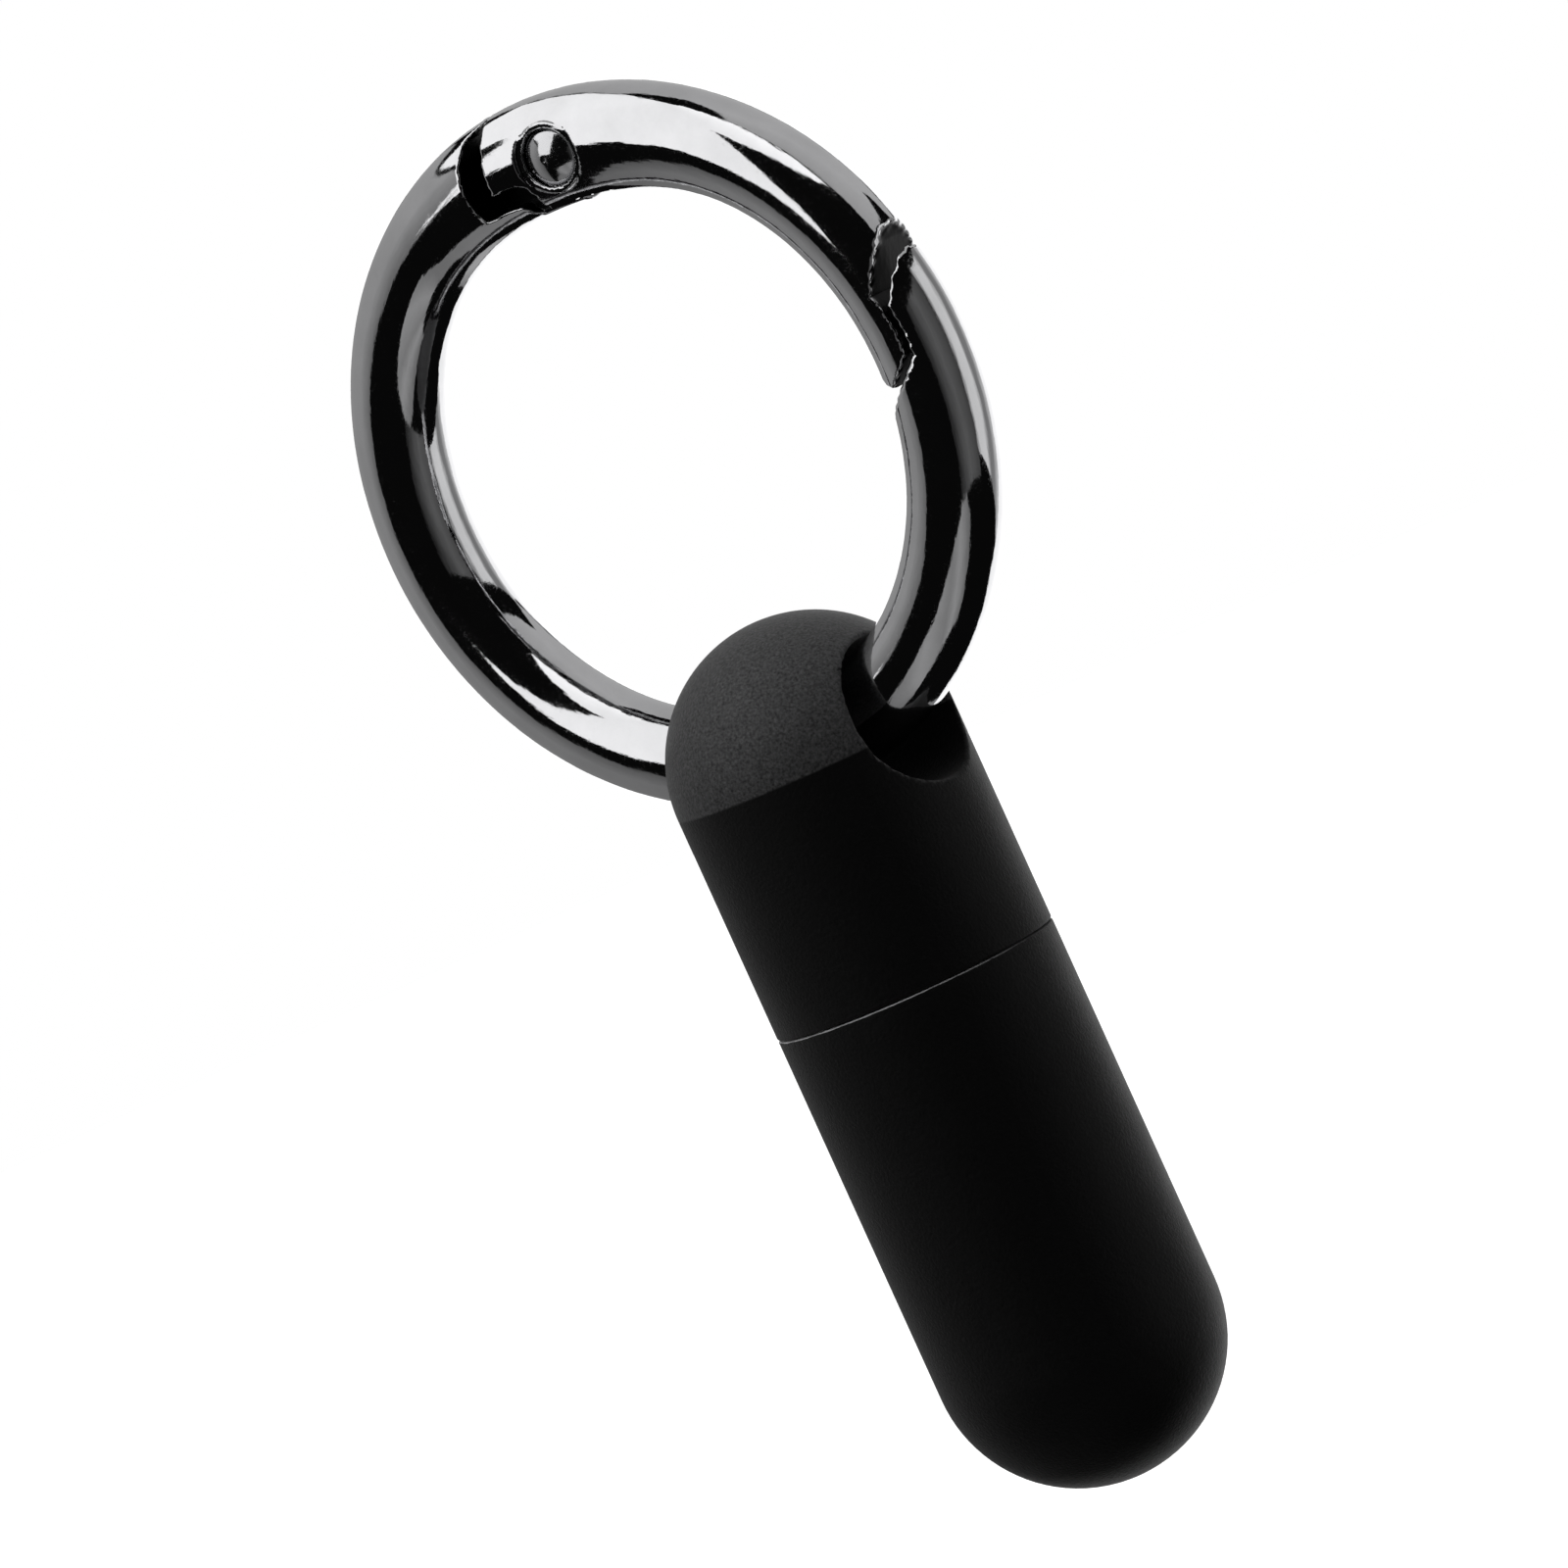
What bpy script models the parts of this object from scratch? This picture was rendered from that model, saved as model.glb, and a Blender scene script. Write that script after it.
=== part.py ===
"""Carabiner keyring: a spring-gate ring with a screw-together capsule hanging on it.

Metres, +Z up. The ring stands in the XZ plane with its centre at the origin, its hinge at the top,
and the capsule hangs below it along -Z, as the whole keyring hangs from a hook through the ring.
Positions in the ring's plane are (x, z) pairs in millimetres, and angles run clockwise from +Z
as seen from the front, which faces -Y.
"""

import math
from math import cos, exp, hypot, pi, radians, sin, sqrt, tau

import bmesh
import bpy
from mathutils import Matrix, Vector

MM = 0.001
WELD_DISTANCE = 1e-6

# Cutting regions reach from well inside the ring's bar to well outside it, and past its sides.
INSIDE_R = 10.0
OUTSIDE_R = 20.5
CUTTER_HALF_WIDTH = 4.0
ROUND_SIDES = 32
JOIN_OVERLAP = 0.05

# Ring: a round bar bent to a circle, swollen on its inner side where the hinge needs room.
RING_MID_R = 15.25
BAR_R = 2.25
SWELL = 0.95
SWELL_SPREAD = 31.0
SWELL_SIDEWAYS = 0.5
RING_STEPS = 80
BAR_SIDES = 20

# Hinge: the gate's fork straddles a flat tongue on the ring body, and a rivet pins them.
PIN_CENTRE = (1.9, 14.6)
PIN_R = 0.6
PIN_HOLE_R = 0.7
PIN_HEAD_R = 1.12
PIN_HEAD_INNER_Y = 1.68
PIN_HEAD_OUTER_Y = 1.98
PIN_DIMPLE_R = 0.6
PIN_DIMPLE_DEPTH = 0.15
PIN_DIMPLE_FLOOR_R = 0.36
PIN_DIMPLE_FLOOR_RISE = 0.03
PIN_SIDES = 24
BOSS_R = 1.72
BOSS_FACE_Y = 2.22
SPOTFACE_MARGIN = 0.06
RECESS_R = 1.26
RECESS_FLOOR_Y = 1.6
FORK_HALF_GAP = 1.05
SLOT_CEILING_Z = 16.62
SLOT_END_R = 2.05
SLOT_OPEN_X = -6.0
SLOT_MARGIN_ANGLE = 5.0
TONGUE_END_R = 1.65
TONGUE_FRONT_Y = 0.0
TONGUE_BACK_Y = 0.9
TONGUE_ROOT_X = -4.4
TONGUE_ROOT_FLARE = 0.1
FOOT_TOP_FROM_PIN = 1.45
FOOT_TOP_SWEEP = (180.0, 215.0)
FOOT_LEFT_X = -1.3
FOOT_INSET = 0.02
GATE_OPEN_ANGLE = 30.0

# Heel: the gate's end is notched below, over a shelf on the ring body that stops it closing.
HINGE_GAP_R = 5.15
HEEL_TOP = (-1.45, 17.3)
HEEL_TOP_LEAN = 0.2
HEEL_LOW = (-1.85, 13.95)
HEEL_UNDERSIDE = ((-0.4, 14.0), (0.05, 13.75), (0.22, 13.2))
KNUCKLE_FROM_PIN = 3.0
KNUCKLE_ANGLE = 218.0
KNUCKLE_FOOT = ((0.0, 11.6), (0.5, INSIDE_R))
SHELF_TOP_Z = 13.0
SHELF_START_ANGLE = 202.0
SHELF_FOOT = (0.9, INSIDE_R)
LIP_TOP = (-1.8, 17.2)
LIP_FACE_ANGLE = -65.0

# Latch: the gate's inner tongue lies behind the ring body's outer lip, and both scarf faces slope.
# The gate's chin is given as (angle, radius) pairs, and each trim in degrees along the ring.
LATCH_FIT = 0.3
GATE_NOSE_R = 15.72
GATE_CHIN = ((91.3, 12.75), (92.9, 13.15), (94.4, 13.7))
GATE_TIP_FROM_PIN = 20.2
GATE_TIP_INNER_R = 14.3
NOSE_START_TRIM = 0.6
NOSE_END_TRIM = 2.5
LIP_START_TRIM = 1.5
LIP_END_TRIM = 1.0
SCARF_GATE = ((15.27, 2.9), (16.23, 4.96))
GATE_BLUNT = (16.42, 5.6)
SCARF_GAP = 0.8
LIP_BLUNT_LENGTH = 0.15
LIP_RELIEF_DIRECTION = (0.8, 0.6)
LIP_RELIEF_LENGTH = 3.2

# Where along the ring the regions' inner and outer borders run, in degrees.
GATE_INNER_SWEEP = (12.0, 88.0)
GATE_OUTER_START = 69.5
GATE_OUTER_SWEEP = (60.0, 10.0)
GAP_INNER_SWEEP = (12.0, 90.0)
GAP_OUTER_SWEEP = (66.0, 6.0)

# Spring: two turns of wire round the pin, one leg under the ring body's lip, one in the gate.
WIRE_R = 0.12
COIL_R = 1.0
COIL_TURNS = 2
COIL_FIRST_Y = -0.22
COIL_PITCH = 0.29
COIL_STEPS = 14
LEG_TO_RING = (-2.55, 15.8)
LEG_TO_GATE = (5.1, 14.95)
LEG_CHANNEL_HALF = 0.35
CHANNEL_OVERLAP = 0.01

# Capsule: two turned pieces of one diameter with round ends.
CAPSULE_R = 7.0
CAP_DOME_BASE_Z = -16.05
SEAM_Z = -27.3
SEAM_GAP = 0.2
VESSEL_DOME_BASE_Z = -45.8
EDGE = 0.15
TURNED_STEPS = 36
DOME_STEPS = 8

# Cross hole through the cap for the ring's bar.
CROSS_HOLE_R = 3.75
CROSS_HOLE_Z = -15.3
CROSS_HOLE_LENGTH = 28.0

# Screw joint: a seal at the shoulder, then the thread, counted up from the seam.
THREAD_PITCH = 1.25
THREAD_MID_R = 5.5
THREAD_RIB_R = 0.36
THREAD_PLAY = 0.12
THREAD_STEPS = 24
THREAD_RUN_IN = 0.9
THREAD_RUN_OUT = 0.5
SPIGOT_R = 5.5
SPIGOT_TOP = 5.7
SPIGOT_LEAD = 0.45
GROOVE_R = 4.95
GROOVE_TOP = 1.5
GROOVE_CHAMFER = 0.1
SOCKET_R = 5.64
SOCKET_TOP = 6.4
COUNTERBORE_R = 6.15
COUNTERBORE_TOP = 1.7
THREAD_FIRST = 2.4
THREAD_LAST = 4.9
BORE_R = 4.2

SEAL_MID_R = 5.52
SEAL_WIRE_R = 0.42
SEAL_HEIGHT = 0.78
SEAL_STEPS = 32
SEAL_SIDES = 10

# Colours, linear.
DARK_NICKEL = (0.10, 0.10, 0.105)
RIVET_NICKEL = (0.13, 0.13, 0.135)
SPRING_STEEL = (0.35, 0.35, 0.36)
BLACK_ANODISED = (0.012, 0.012, 0.013)
BLACK_RUBBER = (0.02, 0.02, 0.02)


# ---------------------------------------------------------------- scene and materials


def clear_scene():
    for obj in list(bpy.data.objects):
        bpy.data.objects.remove(obj)


def new_collection(name):
    collection = bpy.data.collections.new(name)
    bpy.context.scene.collection.children.link(collection)
    return collection


def new_material(name, colour, metallic, roughness):
    material = bpy.data.materials.new(name)
    material.use_nodes = True
    shader = material.node_tree.nodes["Principled BSDF"]
    shader.inputs["Base Color"].default_value = (*colour, 1.0)
    shader.inputs["Metallic"].default_value = metallic
    shader.inputs["Roughness"].default_value = roughness
    material.diffuse_color = (*colour, 1.0)
    return material


def new_object(name, data, collection, material=None):
    obj = bpy.data.objects.new(name, data)
    collection.objects.link(obj)
    if material:
        data.materials.append(material)
    return obj


def as_cutter(obj):
    obj.hide_render = True
    obj.display_type = "WIRE"
    return obj


def boolean(target, cutter, operation):
    modifier = target.modifiers.new(f"{operation.lower()} {cutter.name}", "BOOLEAN")
    modifier.operation = operation
    modifier.object = cutter


def shade_round(obj, sharp_angle=35):
    obj.data.shade_smooth()
    obj.data.set_sharp_from_angle(angle=radians(sharp_angle))


# ---------------------------------------------------------------- shapes


def polar(angle, radius, centre=(0.0, 0.0)):
    """The (x, z) point at this clockwise angle in degrees from +Z, this far from the centre."""
    return (centre[0] + radius * sin(radians(angle)), centre[1] + radius * cos(radians(angle)))


def angle_of(point, centre=(0.0, 0.0)):
    return math.degrees(math.atan2(point[0] - centre[0], point[1] - centre[1]))


def arc(centre, radius, first, last, count):
    return [polar(first + (last - first) * i / count, radius, centre) for i in range(count + 1)]


def circles_meet(radius, centre, other_radius):
    """The right-hand point where a circle about the ring's centre meets one about another centre."""
    distance = hypot(*centre)
    along = (radius**2 - other_radius**2 + distance**2) / (2 * distance)
    across = sqrt(radius**2 - along**2)
    ux, uz = centre[0] / distance, centre[1] / distance
    return (along * ux + across * uz, along * uz - across * ux)


def shifted(point, direction, distance):
    return (point[0] + direction[0] * distance, point[1] + direction[1] * distance)


def move_origin(obj, point):
    """Puts the object's origin at this (x, y, z) point in millimetres and leaves its shape in place."""
    place = Vector(point) * MM
    obj.data.transform(Matrix.Translation(-place))
    obj.location = place


def mesh_from_curve(obj, collection):
    """The curve object made into a mesh object of the same name and place, its caps welded on."""
    bpy.context.view_layer.update()
    evaluated = obj.evaluated_get(bpy.context.evaluated_depsgraph_get())
    mesh = bpy.data.meshes.new_from_object(evaluated)
    shape = bmesh.new()
    shape.from_mesh(mesh)
    bmesh.ops.remove_doubles(shape, verts=shape.verts, dist=WELD_DISTANCE)
    bmesh.ops.recalc_face_normals(shape, faces=shape.faces)
    shape.to_mesh(mesh)
    shape.free()
    name, matrix = obj.name, obj.matrix_world.copy()
    bpy.data.objects.remove(obj)
    made = new_object(name, mesh, collection)
    made.matrix_world = matrix
    return made


def plate(name, outline, front_y, back_y, collection):
    """A flat plate with this (x, z) outline, from front_y to back_y."""
    curve = bpy.data.curves.new(name, "CURVE")
    curve.dimensions = "2D"
    curve.fill_mode = "BOTH"
    curve.extrude = (back_y - front_y) / 2 * MM
    spline = curve.splines.new("POLY")
    spline.points.add(len(outline) - 1)
    for place, (x, z) in zip(spline.points, outline):
        place.co = (x * MM, z * MM, 0, 1)
    spline.use_cyclic_u = True
    obj = new_object(name, curve, collection)
    obj.rotation_euler = (pi / 2, 0, 0)
    obj.location = (0, (front_y + back_y) / 2 * MM, 0)
    return mesh_from_curve(obj, collection)


def wire(name, points, radius, bevel_resolution, collection):
    """A round wire through these (x, y, z) points in millimetres."""
    curve = bpy.data.curves.new(name, "CURVE")
    curve.dimensions = "3D"
    curve.bevel_depth = radius * MM
    curve.bevel_resolution = bevel_resolution
    curve.use_fill_caps = True
    spline = curve.splines.new("POLY")
    spline.points.add(len(points) - 1)
    for place, point in zip(spline.points, points):
        place.co = (*(Vector(point) * MM), 1)
    return mesh_from_curve(new_object(name, curve, collection), collection)


def cylinder(name, radius, front_y, back_y, centre, collection, sides=PIN_SIDES):
    """A cylinder along Y about this (x, z) centre."""
    mesh = bpy.data.meshes.new(name)
    shape = bmesh.new()
    bmesh.ops.create_cone(
        shape,
        cap_ends=True,
        segments=sides,
        radius1=radius * MM,
        radius2=radius * MM,
        depth=(back_y - front_y) * MM,
        matrix=Matrix.Rotation(pi / 2, 4, "X"),
    )
    shape.to_mesh(mesh)
    shape.free()
    obj = new_object(name, mesh, collection)
    obj.location = Vector((centre[0], (front_y + back_y) / 2, centre[1])) * MM
    return obj


def turned(name, profile, collection, material=None, steps=TURNED_STEPS):
    """A solid turned about the local Z axis from (radius, z) points that start and end on it."""
    mesh = bpy.data.meshes.new(name)
    vertices = [(radius * MM, 0, z * MM) for radius, z in profile]
    mesh.from_pydata(vertices, [(i, i + 1) for i in range(len(profile) - 1)], [])
    obj = new_object(name, mesh, collection, material)
    screw = obj.modifiers.new("turn", "SCREW")
    screw.steps = steps
    screw.render_steps = steps
    screw.use_merge_vertices = True
    screw.merge_threshold = WELD_DISTANCE
    return obj


def dome(radius, base_z, upward, inside=False):
    """Profile points of a round end: from its tip to its base, or the reverse."""
    side = 1 if upward else -1
    points = [
        (radius * sin(pi / 2 * i / DOME_STEPS), base_z + side * radius * cos(pi / 2 * i / DOME_STEPS))
        for i in range(DOME_STEPS + 1)
    ]
    points[0] = (0, points[0][1])
    return points if upward != inside else points[::-1]


def thread_helix(first, last):
    """Points of the right-hand thread's middle line between two heights above the seam."""
    count = round((last - first) / THREAD_PITCH * THREAD_STEPS)
    points = []
    for i in range(count + 1):
        height = first + (last - first) * i / count
        angle = tau * height / THREAD_PITCH
        points.append((THREAD_MID_R * cos(angle), THREAD_MID_R * sin(angle), SEAM_Z + height))
    return points


# ---------------------------------------------------------------- ring, gate and hinge


def swell_at(angle):
    return SWELL * exp(-((angle / SWELL_SPREAD) ** 2))


def ring_blank(name, collection, material):
    """The whole closed ring: the body and the gate are both cut from it, so they match."""
    bpy.ops.mesh.primitive_torus_add(
        major_segments=RING_STEPS,
        minor_segments=BAR_SIDES,
        major_radius=RING_MID_R * MM,
        minor_radius=BAR_R * MM,
    )
    startup = bpy.context.active_object
    mesh = startup.data
    bpy.data.objects.remove(startup)
    mesh.name = name
    mesh.transform(Matrix.Rotation(pi / 2, 4, "X"))
    for vertex in mesh.vertices:
        x, y, z = vertex.co / MM
        angle = math.degrees(math.atan2(x, z))
        swell = swell_at(angle)
        across = (hypot(x, z) - RING_MID_R) * (1 + swell / 2 / BAR_R)
        x, z = polar(angle, RING_MID_R - swell / 2 + across)
        vertex.co = Vector((x, y * (1 + SWELL_SIDEWAYS * swell / 2 / BAR_R), z)) * MM
    return new_object(name, mesh, collection, material)


def scarf_direction():
    (x0, z0), (x1, z1) = SCARF_GATE
    length = hypot(x1 - x0, z1 - z0)
    return ((x1 - x0) / length, (z1 - z0) / length)


def gate_outline():
    """The region of the ring's plane that the gate takes."""
    knuckle = polar(KNUCKLE_ANGLE, KNUCKLE_FROM_PIN, PIN_CENTRE)
    nose_end = circles_meet(GATE_NOSE_R, PIN_CENTRE, GATE_TIP_FROM_PIN)
    tip_start = circles_meet(GATE_TIP_INNER_R, PIN_CENTRE, GATE_TIP_FROM_PIN)
    tip_sweep = (angle_of(tip_start, PIN_CENTRE), angle_of(nose_end, PIN_CENTRE))
    nose_sweep = (angle_of(nose_end) - NOSE_START_TRIM, angle_of(SCARF_GATE[0]) + NOSE_END_TRIM)
    points = [(HEEL_TOP[0] + HEEL_TOP_LEAN, OUTSIDE_R), HEEL_TOP, HEEL_LOW, *HEEL_UNDERSIDE]
    points += [knuckle, *KNUCKLE_FOOT]
    points += arc((0, 0), INSIDE_R, *GATE_INNER_SWEEP, count=6)
    points += [polar(*corner) for corner in GATE_CHIN]
    points += arc(PIN_CENTRE, GATE_TIP_FROM_PIN, *tip_sweep, count=3)
    points += arc((0, 0), GATE_NOSE_R, *nose_sweep, count=4)
    points += [*SCARF_GATE, GATE_BLUNT, polar(GATE_OUTER_START, OUTSIDE_R)]
    points += arc((0, 0), OUTSIDE_R, *GATE_OUTER_SWEEP, count=5)
    return points


def body_gap_outline():
    """The region cut from the ring to leave its body: the gate's place with room to move."""
    lip_face_r = GATE_NOSE_R + LATCH_FIT
    step_r = GATE_TIP_FROM_PIN + LATCH_FIT
    along = scarf_direction()
    away = (along[1], -along[0])
    scarf_low = shifted(SCARF_GATE[0], away, SCARF_GAP)
    scarf_high = shifted(SCARF_GATE[1], away, SCARF_GAP)
    lip_end = shifted(scarf_high, along, -LIP_BLUNT_LENGTH)
    step_top = circles_meet(lip_face_r, PIN_CENTRE, step_r)
    step_foot = circles_meet(INSIDE_R, PIN_CENTRE, step_r)
    shelf_r = KNUCKLE_FROM_PIN + LATCH_FIT
    shelf_drop = PIN_CENTRE[1] - SHELF_TOP_Z
    shelf_end_angle = 180 + math.degrees(math.acos(shelf_drop / shelf_r))
    gap_low_angle = -180 + math.degrees(math.acos(shelf_drop / HINGE_GAP_R))
    step_sweep = (angle_of(step_foot, PIN_CENTRE), angle_of(step_top, PIN_CENTRE))
    lip_sweep = (angle_of(step_top) - LIP_START_TRIM, angle_of(scarf_low) + LIP_END_TRIM)
    points = [(LIP_TOP[0], OUTSIDE_R), LIP_TOP]
    points += arc(PIN_CENTRE, HINGE_GAP_R, LIP_FACE_ANGLE, gap_low_angle, count=6)
    points += arc(PIN_CENTRE, shelf_r, shelf_end_angle, SHELF_START_ANGLE, count=4)
    points += [SHELF_FOOT]
    points += arc((0, 0), INSIDE_R, *GAP_INNER_SWEEP, count=6)
    points += arc(PIN_CENTRE, step_r, *step_sweep, count=7)
    points += arc((0, 0), lip_face_r, *lip_sweep, count=3)
    points += [scarf_low, lip_end, shifted(lip_end, LIP_RELIEF_DIRECTION, LIP_RELIEF_LENGTH)]
    points += arc((0, 0), OUTSIDE_R, *GAP_OUTER_SWEEP, count=6)
    return points


def tongue_outline():
    """The tongue's end is round, and both its edges drop a little towards its root."""
    end = arc(PIN_CENTRE, TONGUE_END_R, 0, 180, count=12)
    root_top = (TONGUE_ROOT_X, PIN_CENTRE[1] + TONGUE_END_R - TONGUE_ROOT_FLARE)
    root_bottom = (TONGUE_ROOT_X, PIN_CENTRE[1] - TONGUE_END_R - TONGUE_ROOT_FLARE)
    return [root_top, *end, root_bottom]


def foot_outline():
    """What stays of the ring below the pin, in the fork's slot, as a floor under the spring."""
    top = arc(PIN_CENTRE, FOOT_TOP_FROM_PIN, *FOOT_TOP_SWEEP, count=4)
    shelf_corner = (FOOT_LEFT_X, SHELF_TOP_Z + JOIN_OVERLAP)
    return [(FOOT_LEFT_X, INSIDE_R), (PIN_CENTRE[0], INSIDE_R), *top, shelf_corner]


def slot_outline():
    """The fork's slot: round the pin on the right, and open below as far as the foot needs."""
    start = math.degrees(math.acos((SLOT_CEILING_Z - PIN_CENTRE[1]) / SLOT_END_R))
    foot_end = 180 - GATE_OPEN_ANGLE - SLOT_MARGIN_ANGLE
    end = arc(PIN_CENTRE, SLOT_END_R, start, foot_end, count=11)
    below = polar(foot_end, 2 * SLOT_END_R, PIN_CENTRE)
    return [(SLOT_OPEN_X, SLOT_CEILING_Z), *end, below, (SLOT_OPEN_X, INSIDE_R)]


def leg_channel_outline():
    """A straight channel from the top of the coil to the end of the gate's spring leg."""
    x0, z0 = PIN_CENTRE[0], PIN_CENTRE[1] + COIL_R
    x1, z1 = LEG_TO_GATE[0] + LEG_CHANNEL_HALF, LEG_TO_GATE[1]
    half = LEG_CHANNEL_HALF
    return [(x0, z0 + half), (x1, z1 + half), (x1, z1 - half), (x0, z0 - half)]


def make_ring_body(parts, cutters, material):
    body = ring_blank("ring_body", parts, material)
    gap = plate("gate_gap", body_gap_outline(), -CUTTER_HALF_WIDTH, CUTTER_HALF_WIDTH, cutters)
    tongue = plate("hinge_tongue", tongue_outline(), TONGUE_FRONT_Y, TONGUE_BACK_Y, cutters)
    hole = cylinder("tongue_pin_hole", PIN_HOLE_R, -CUTTER_HALF_WIDTH, CUTTER_HALF_WIDTH, PIN_CENTRE, cutters)
    foot = plate("spring_floor", foot_outline(), -TONGUE_BACK_Y, TONGUE_BACK_Y - FOOT_INSET, cutters)
    boolean(gap, as_cutter(foot), "DIFFERENCE")
    boolean(body, as_cutter(gap), "DIFFERENCE")
    boolean(body, as_cutter(tongue), "UNION")
    boolean(body, as_cutter(hole), "DIFFERENCE")
    shade_round(body)
    return body


def make_gate(parts, cutters, material):
    gate = ring_blank("gate", parts, material)
    move_origin(gate, (PIN_CENTRE[0], 0, PIN_CENTRE[1]))
    region = plate("gate_region", gate_outline(), -CUTTER_HALF_WIDTH, CUTTER_HALF_WIDTH, cutters)
    boss_end = BOSS_FACE_Y + SPOTFACE_MARGIN
    boss = cylinder("hinge_boss", BOSS_R, -boss_end, boss_end, PIN_CENTRE, cutters, sides=ROUND_SIDES)
    boolean(gate, as_cutter(region), "INTERSECT")
    boolean(gate, as_cutter(boss), "UNION")

    slot = plate("fork_slot", slot_outline(), -FORK_HALF_GAP, FORK_HALF_GAP, cutters)
    channel_front = -FORK_HALF_GAP + CHANNEL_OVERLAP
    channel_back = COIL_FIRST_Y - COIL_PITCH
    channel = plate("spring_channel", leg_channel_outline(), channel_front, channel_back, cutters)
    cuts = [
        slot,
        channel,
        cylinder("fork_pin_hole", PIN_HOLE_R, -CUTTER_HALF_WIDTH, CUTTER_HALF_WIDTH, PIN_CENTRE, cutters),
    ]
    for side, label in ((-1, "front"), (1, "back")):
        for use, radius, floor in (
            ("spotface", BOSS_R + SPOTFACE_MARGIN, BOSS_FACE_Y),
            ("recess", RECESS_R, RECESS_FLOOR_Y),
        ):
            low, high = sorted((side * floor, side * CUTTER_HALF_WIDTH))
            name = f"{label}_{use}"
            cuts.append(cylinder(name, radius, low, high, PIN_CENTRE, cutters, sides=ROUND_SIDES))
    for cutter in cuts:
        boolean(gate, as_cutter(cutter), "DIFFERENCE")
    shade_round(gate)
    return gate


def make_hinge_pin(parts, material):
    """A rivet turned about Y, its two heads dimpled where they were closed."""
    dimple_y = PIN_HEAD_OUTER_Y - PIN_DIMPLE_DEPTH
    half = [
        (0, dimple_y),
        (PIN_DIMPLE_FLOOR_R, dimple_y + PIN_DIMPLE_FLOOR_RISE),
        (PIN_DIMPLE_R, PIN_HEAD_OUTER_Y),
        (PIN_HEAD_R - EDGE, PIN_HEAD_OUTER_Y),
        (PIN_HEAD_R, PIN_HEAD_OUTER_Y - EDGE),
        (PIN_HEAD_R, PIN_HEAD_INNER_Y),
        (PIN_R, PIN_HEAD_INNER_Y),
    ]
    profile = half + [(radius, -y) for radius, y in reversed(half)]
    pin = turned("hinge_pin", profile, parts, material, steps=PIN_SIDES)
    pin.rotation_euler = (-pi / 2, 0, 0)
    pin.location = Vector((PIN_CENTRE[0], 0, PIN_CENTRE[1])) * MM
    return pin


def make_spring(parts, material):
    """A torsion spring: in along one leg, round the pin, and out along the other."""
    steps = COIL_STEPS * COIL_TURNS
    last_y = COIL_FIRST_Y - COIL_TURNS * COIL_PITCH
    points = [(LEG_TO_RING[0], COIL_FIRST_Y, LEG_TO_RING[1])]
    for i in range(steps + 1):
        turn = i / steps * COIL_TURNS
        x, z = polar(360 * turn, COIL_R, PIN_CENTRE)
        points.append((x, COIL_FIRST_Y - COIL_PITCH * turn, z))
    points.append((LEG_TO_GATE[0], last_y, LEG_TO_GATE[1]))
    spring = wire("gate_spring", points, WIRE_R, bevel_resolution=1, collection=parts)
    spring.data.materials.append(material)
    spring.data.shade_smooth()
    return spring


# ---------------------------------------------------------------- capsule


def cap_profile():
    rim_z = SEAM_Z + SEAM_GAP / 2
    bore_start = SEAM_Z + COUNTERBORE_TOP
    top = SEAM_Z + SOCKET_TOP
    return dome(CAPSULE_R, CAP_DOME_BASE_Z, upward=True) + [
        (CAPSULE_R, rim_z + EDGE),
        (CAPSULE_R - EDGE, rim_z),
        (COUNTERBORE_R + EDGE, rim_z),
        (COUNTERBORE_R, rim_z + EDGE),
        (COUNTERBORE_R, bore_start),
        (SOCKET_R, bore_start + COUNTERBORE_R - SOCKET_R),
        (SOCKET_R, top),
        (0, top),
    ]


def vessel_profile():
    shoulder_z = SEAM_Z - SEAM_GAP / 2
    mouth_z = SEAM_Z + SPIGOT_TOP
    groove_z = SEAM_Z + GROOVE_TOP
    outside = [
        (BORE_R, mouth_z),
        (SPIGOT_R - SPIGOT_LEAD, mouth_z),
        (SPIGOT_R, mouth_z - SPIGOT_LEAD),
        (SPIGOT_R, groove_z + GROOVE_CHAMFER),
        (SPIGOT_R - GROOVE_CHAMFER, groove_z),
        (GROOVE_R, groove_z),
        (GROOVE_R, shoulder_z),
        (CAPSULE_R - EDGE, shoulder_z),
        (CAPSULE_R, shoulder_z - EDGE),
    ]
    bore_end = dome(BORE_R, VESSEL_DOME_BASE_Z, upward=False, inside=True)
    return bore_end + outside + dome(CAPSULE_R, VESSEL_DOME_BASE_Z, upward=False)


def make_cap(parts, cutters, material):
    cap = turned("capsule_cap", cap_profile(), parts, material)
    move_origin(cap, (0, 0, -RING_MID_R))
    mesh = bpy.data.meshes.new("cross_hole")
    shape = bmesh.new()
    bmesh.ops.create_cone(
        shape,
        cap_ends=True,
        segments=ROUND_SIDES,
        radius1=CROSS_HOLE_R * MM,
        radius2=CROSS_HOLE_R * MM,
        depth=CROSS_HOLE_LENGTH * MM,
        matrix=Matrix.Rotation(pi / 2, 4, "Y"),
    )
    shape.to_mesh(mesh)
    shape.free()
    hole = new_object("cross_hole", mesh, cutters)
    hole.location = (0, 0, CROSS_HOLE_Z * MM)
    points = thread_helix(THREAD_FIRST - THREAD_RUN_IN, THREAD_LAST + THREAD_RUN_OUT)
    groove_r = THREAD_RIB_R + THREAD_PLAY
    thread = wire("socket_thread", points, groove_r, bevel_resolution=2, collection=cutters)
    boolean(cap, as_cutter(hole), "DIFFERENCE")
    boolean(cap, as_cutter(thread), "DIFFERENCE")
    return cap


def make_vessel(parts, cutters, material):
    vessel = turned("capsule_vessel", vessel_profile(), parts, material)
    points = thread_helix(THREAD_FIRST, THREAD_LAST)
    thread = wire("spigot_thread", points, THREAD_RIB_R, bevel_resolution=2, collection=cutters)
    boolean(vessel, as_cutter(thread), "UNION")
    return vessel


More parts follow.
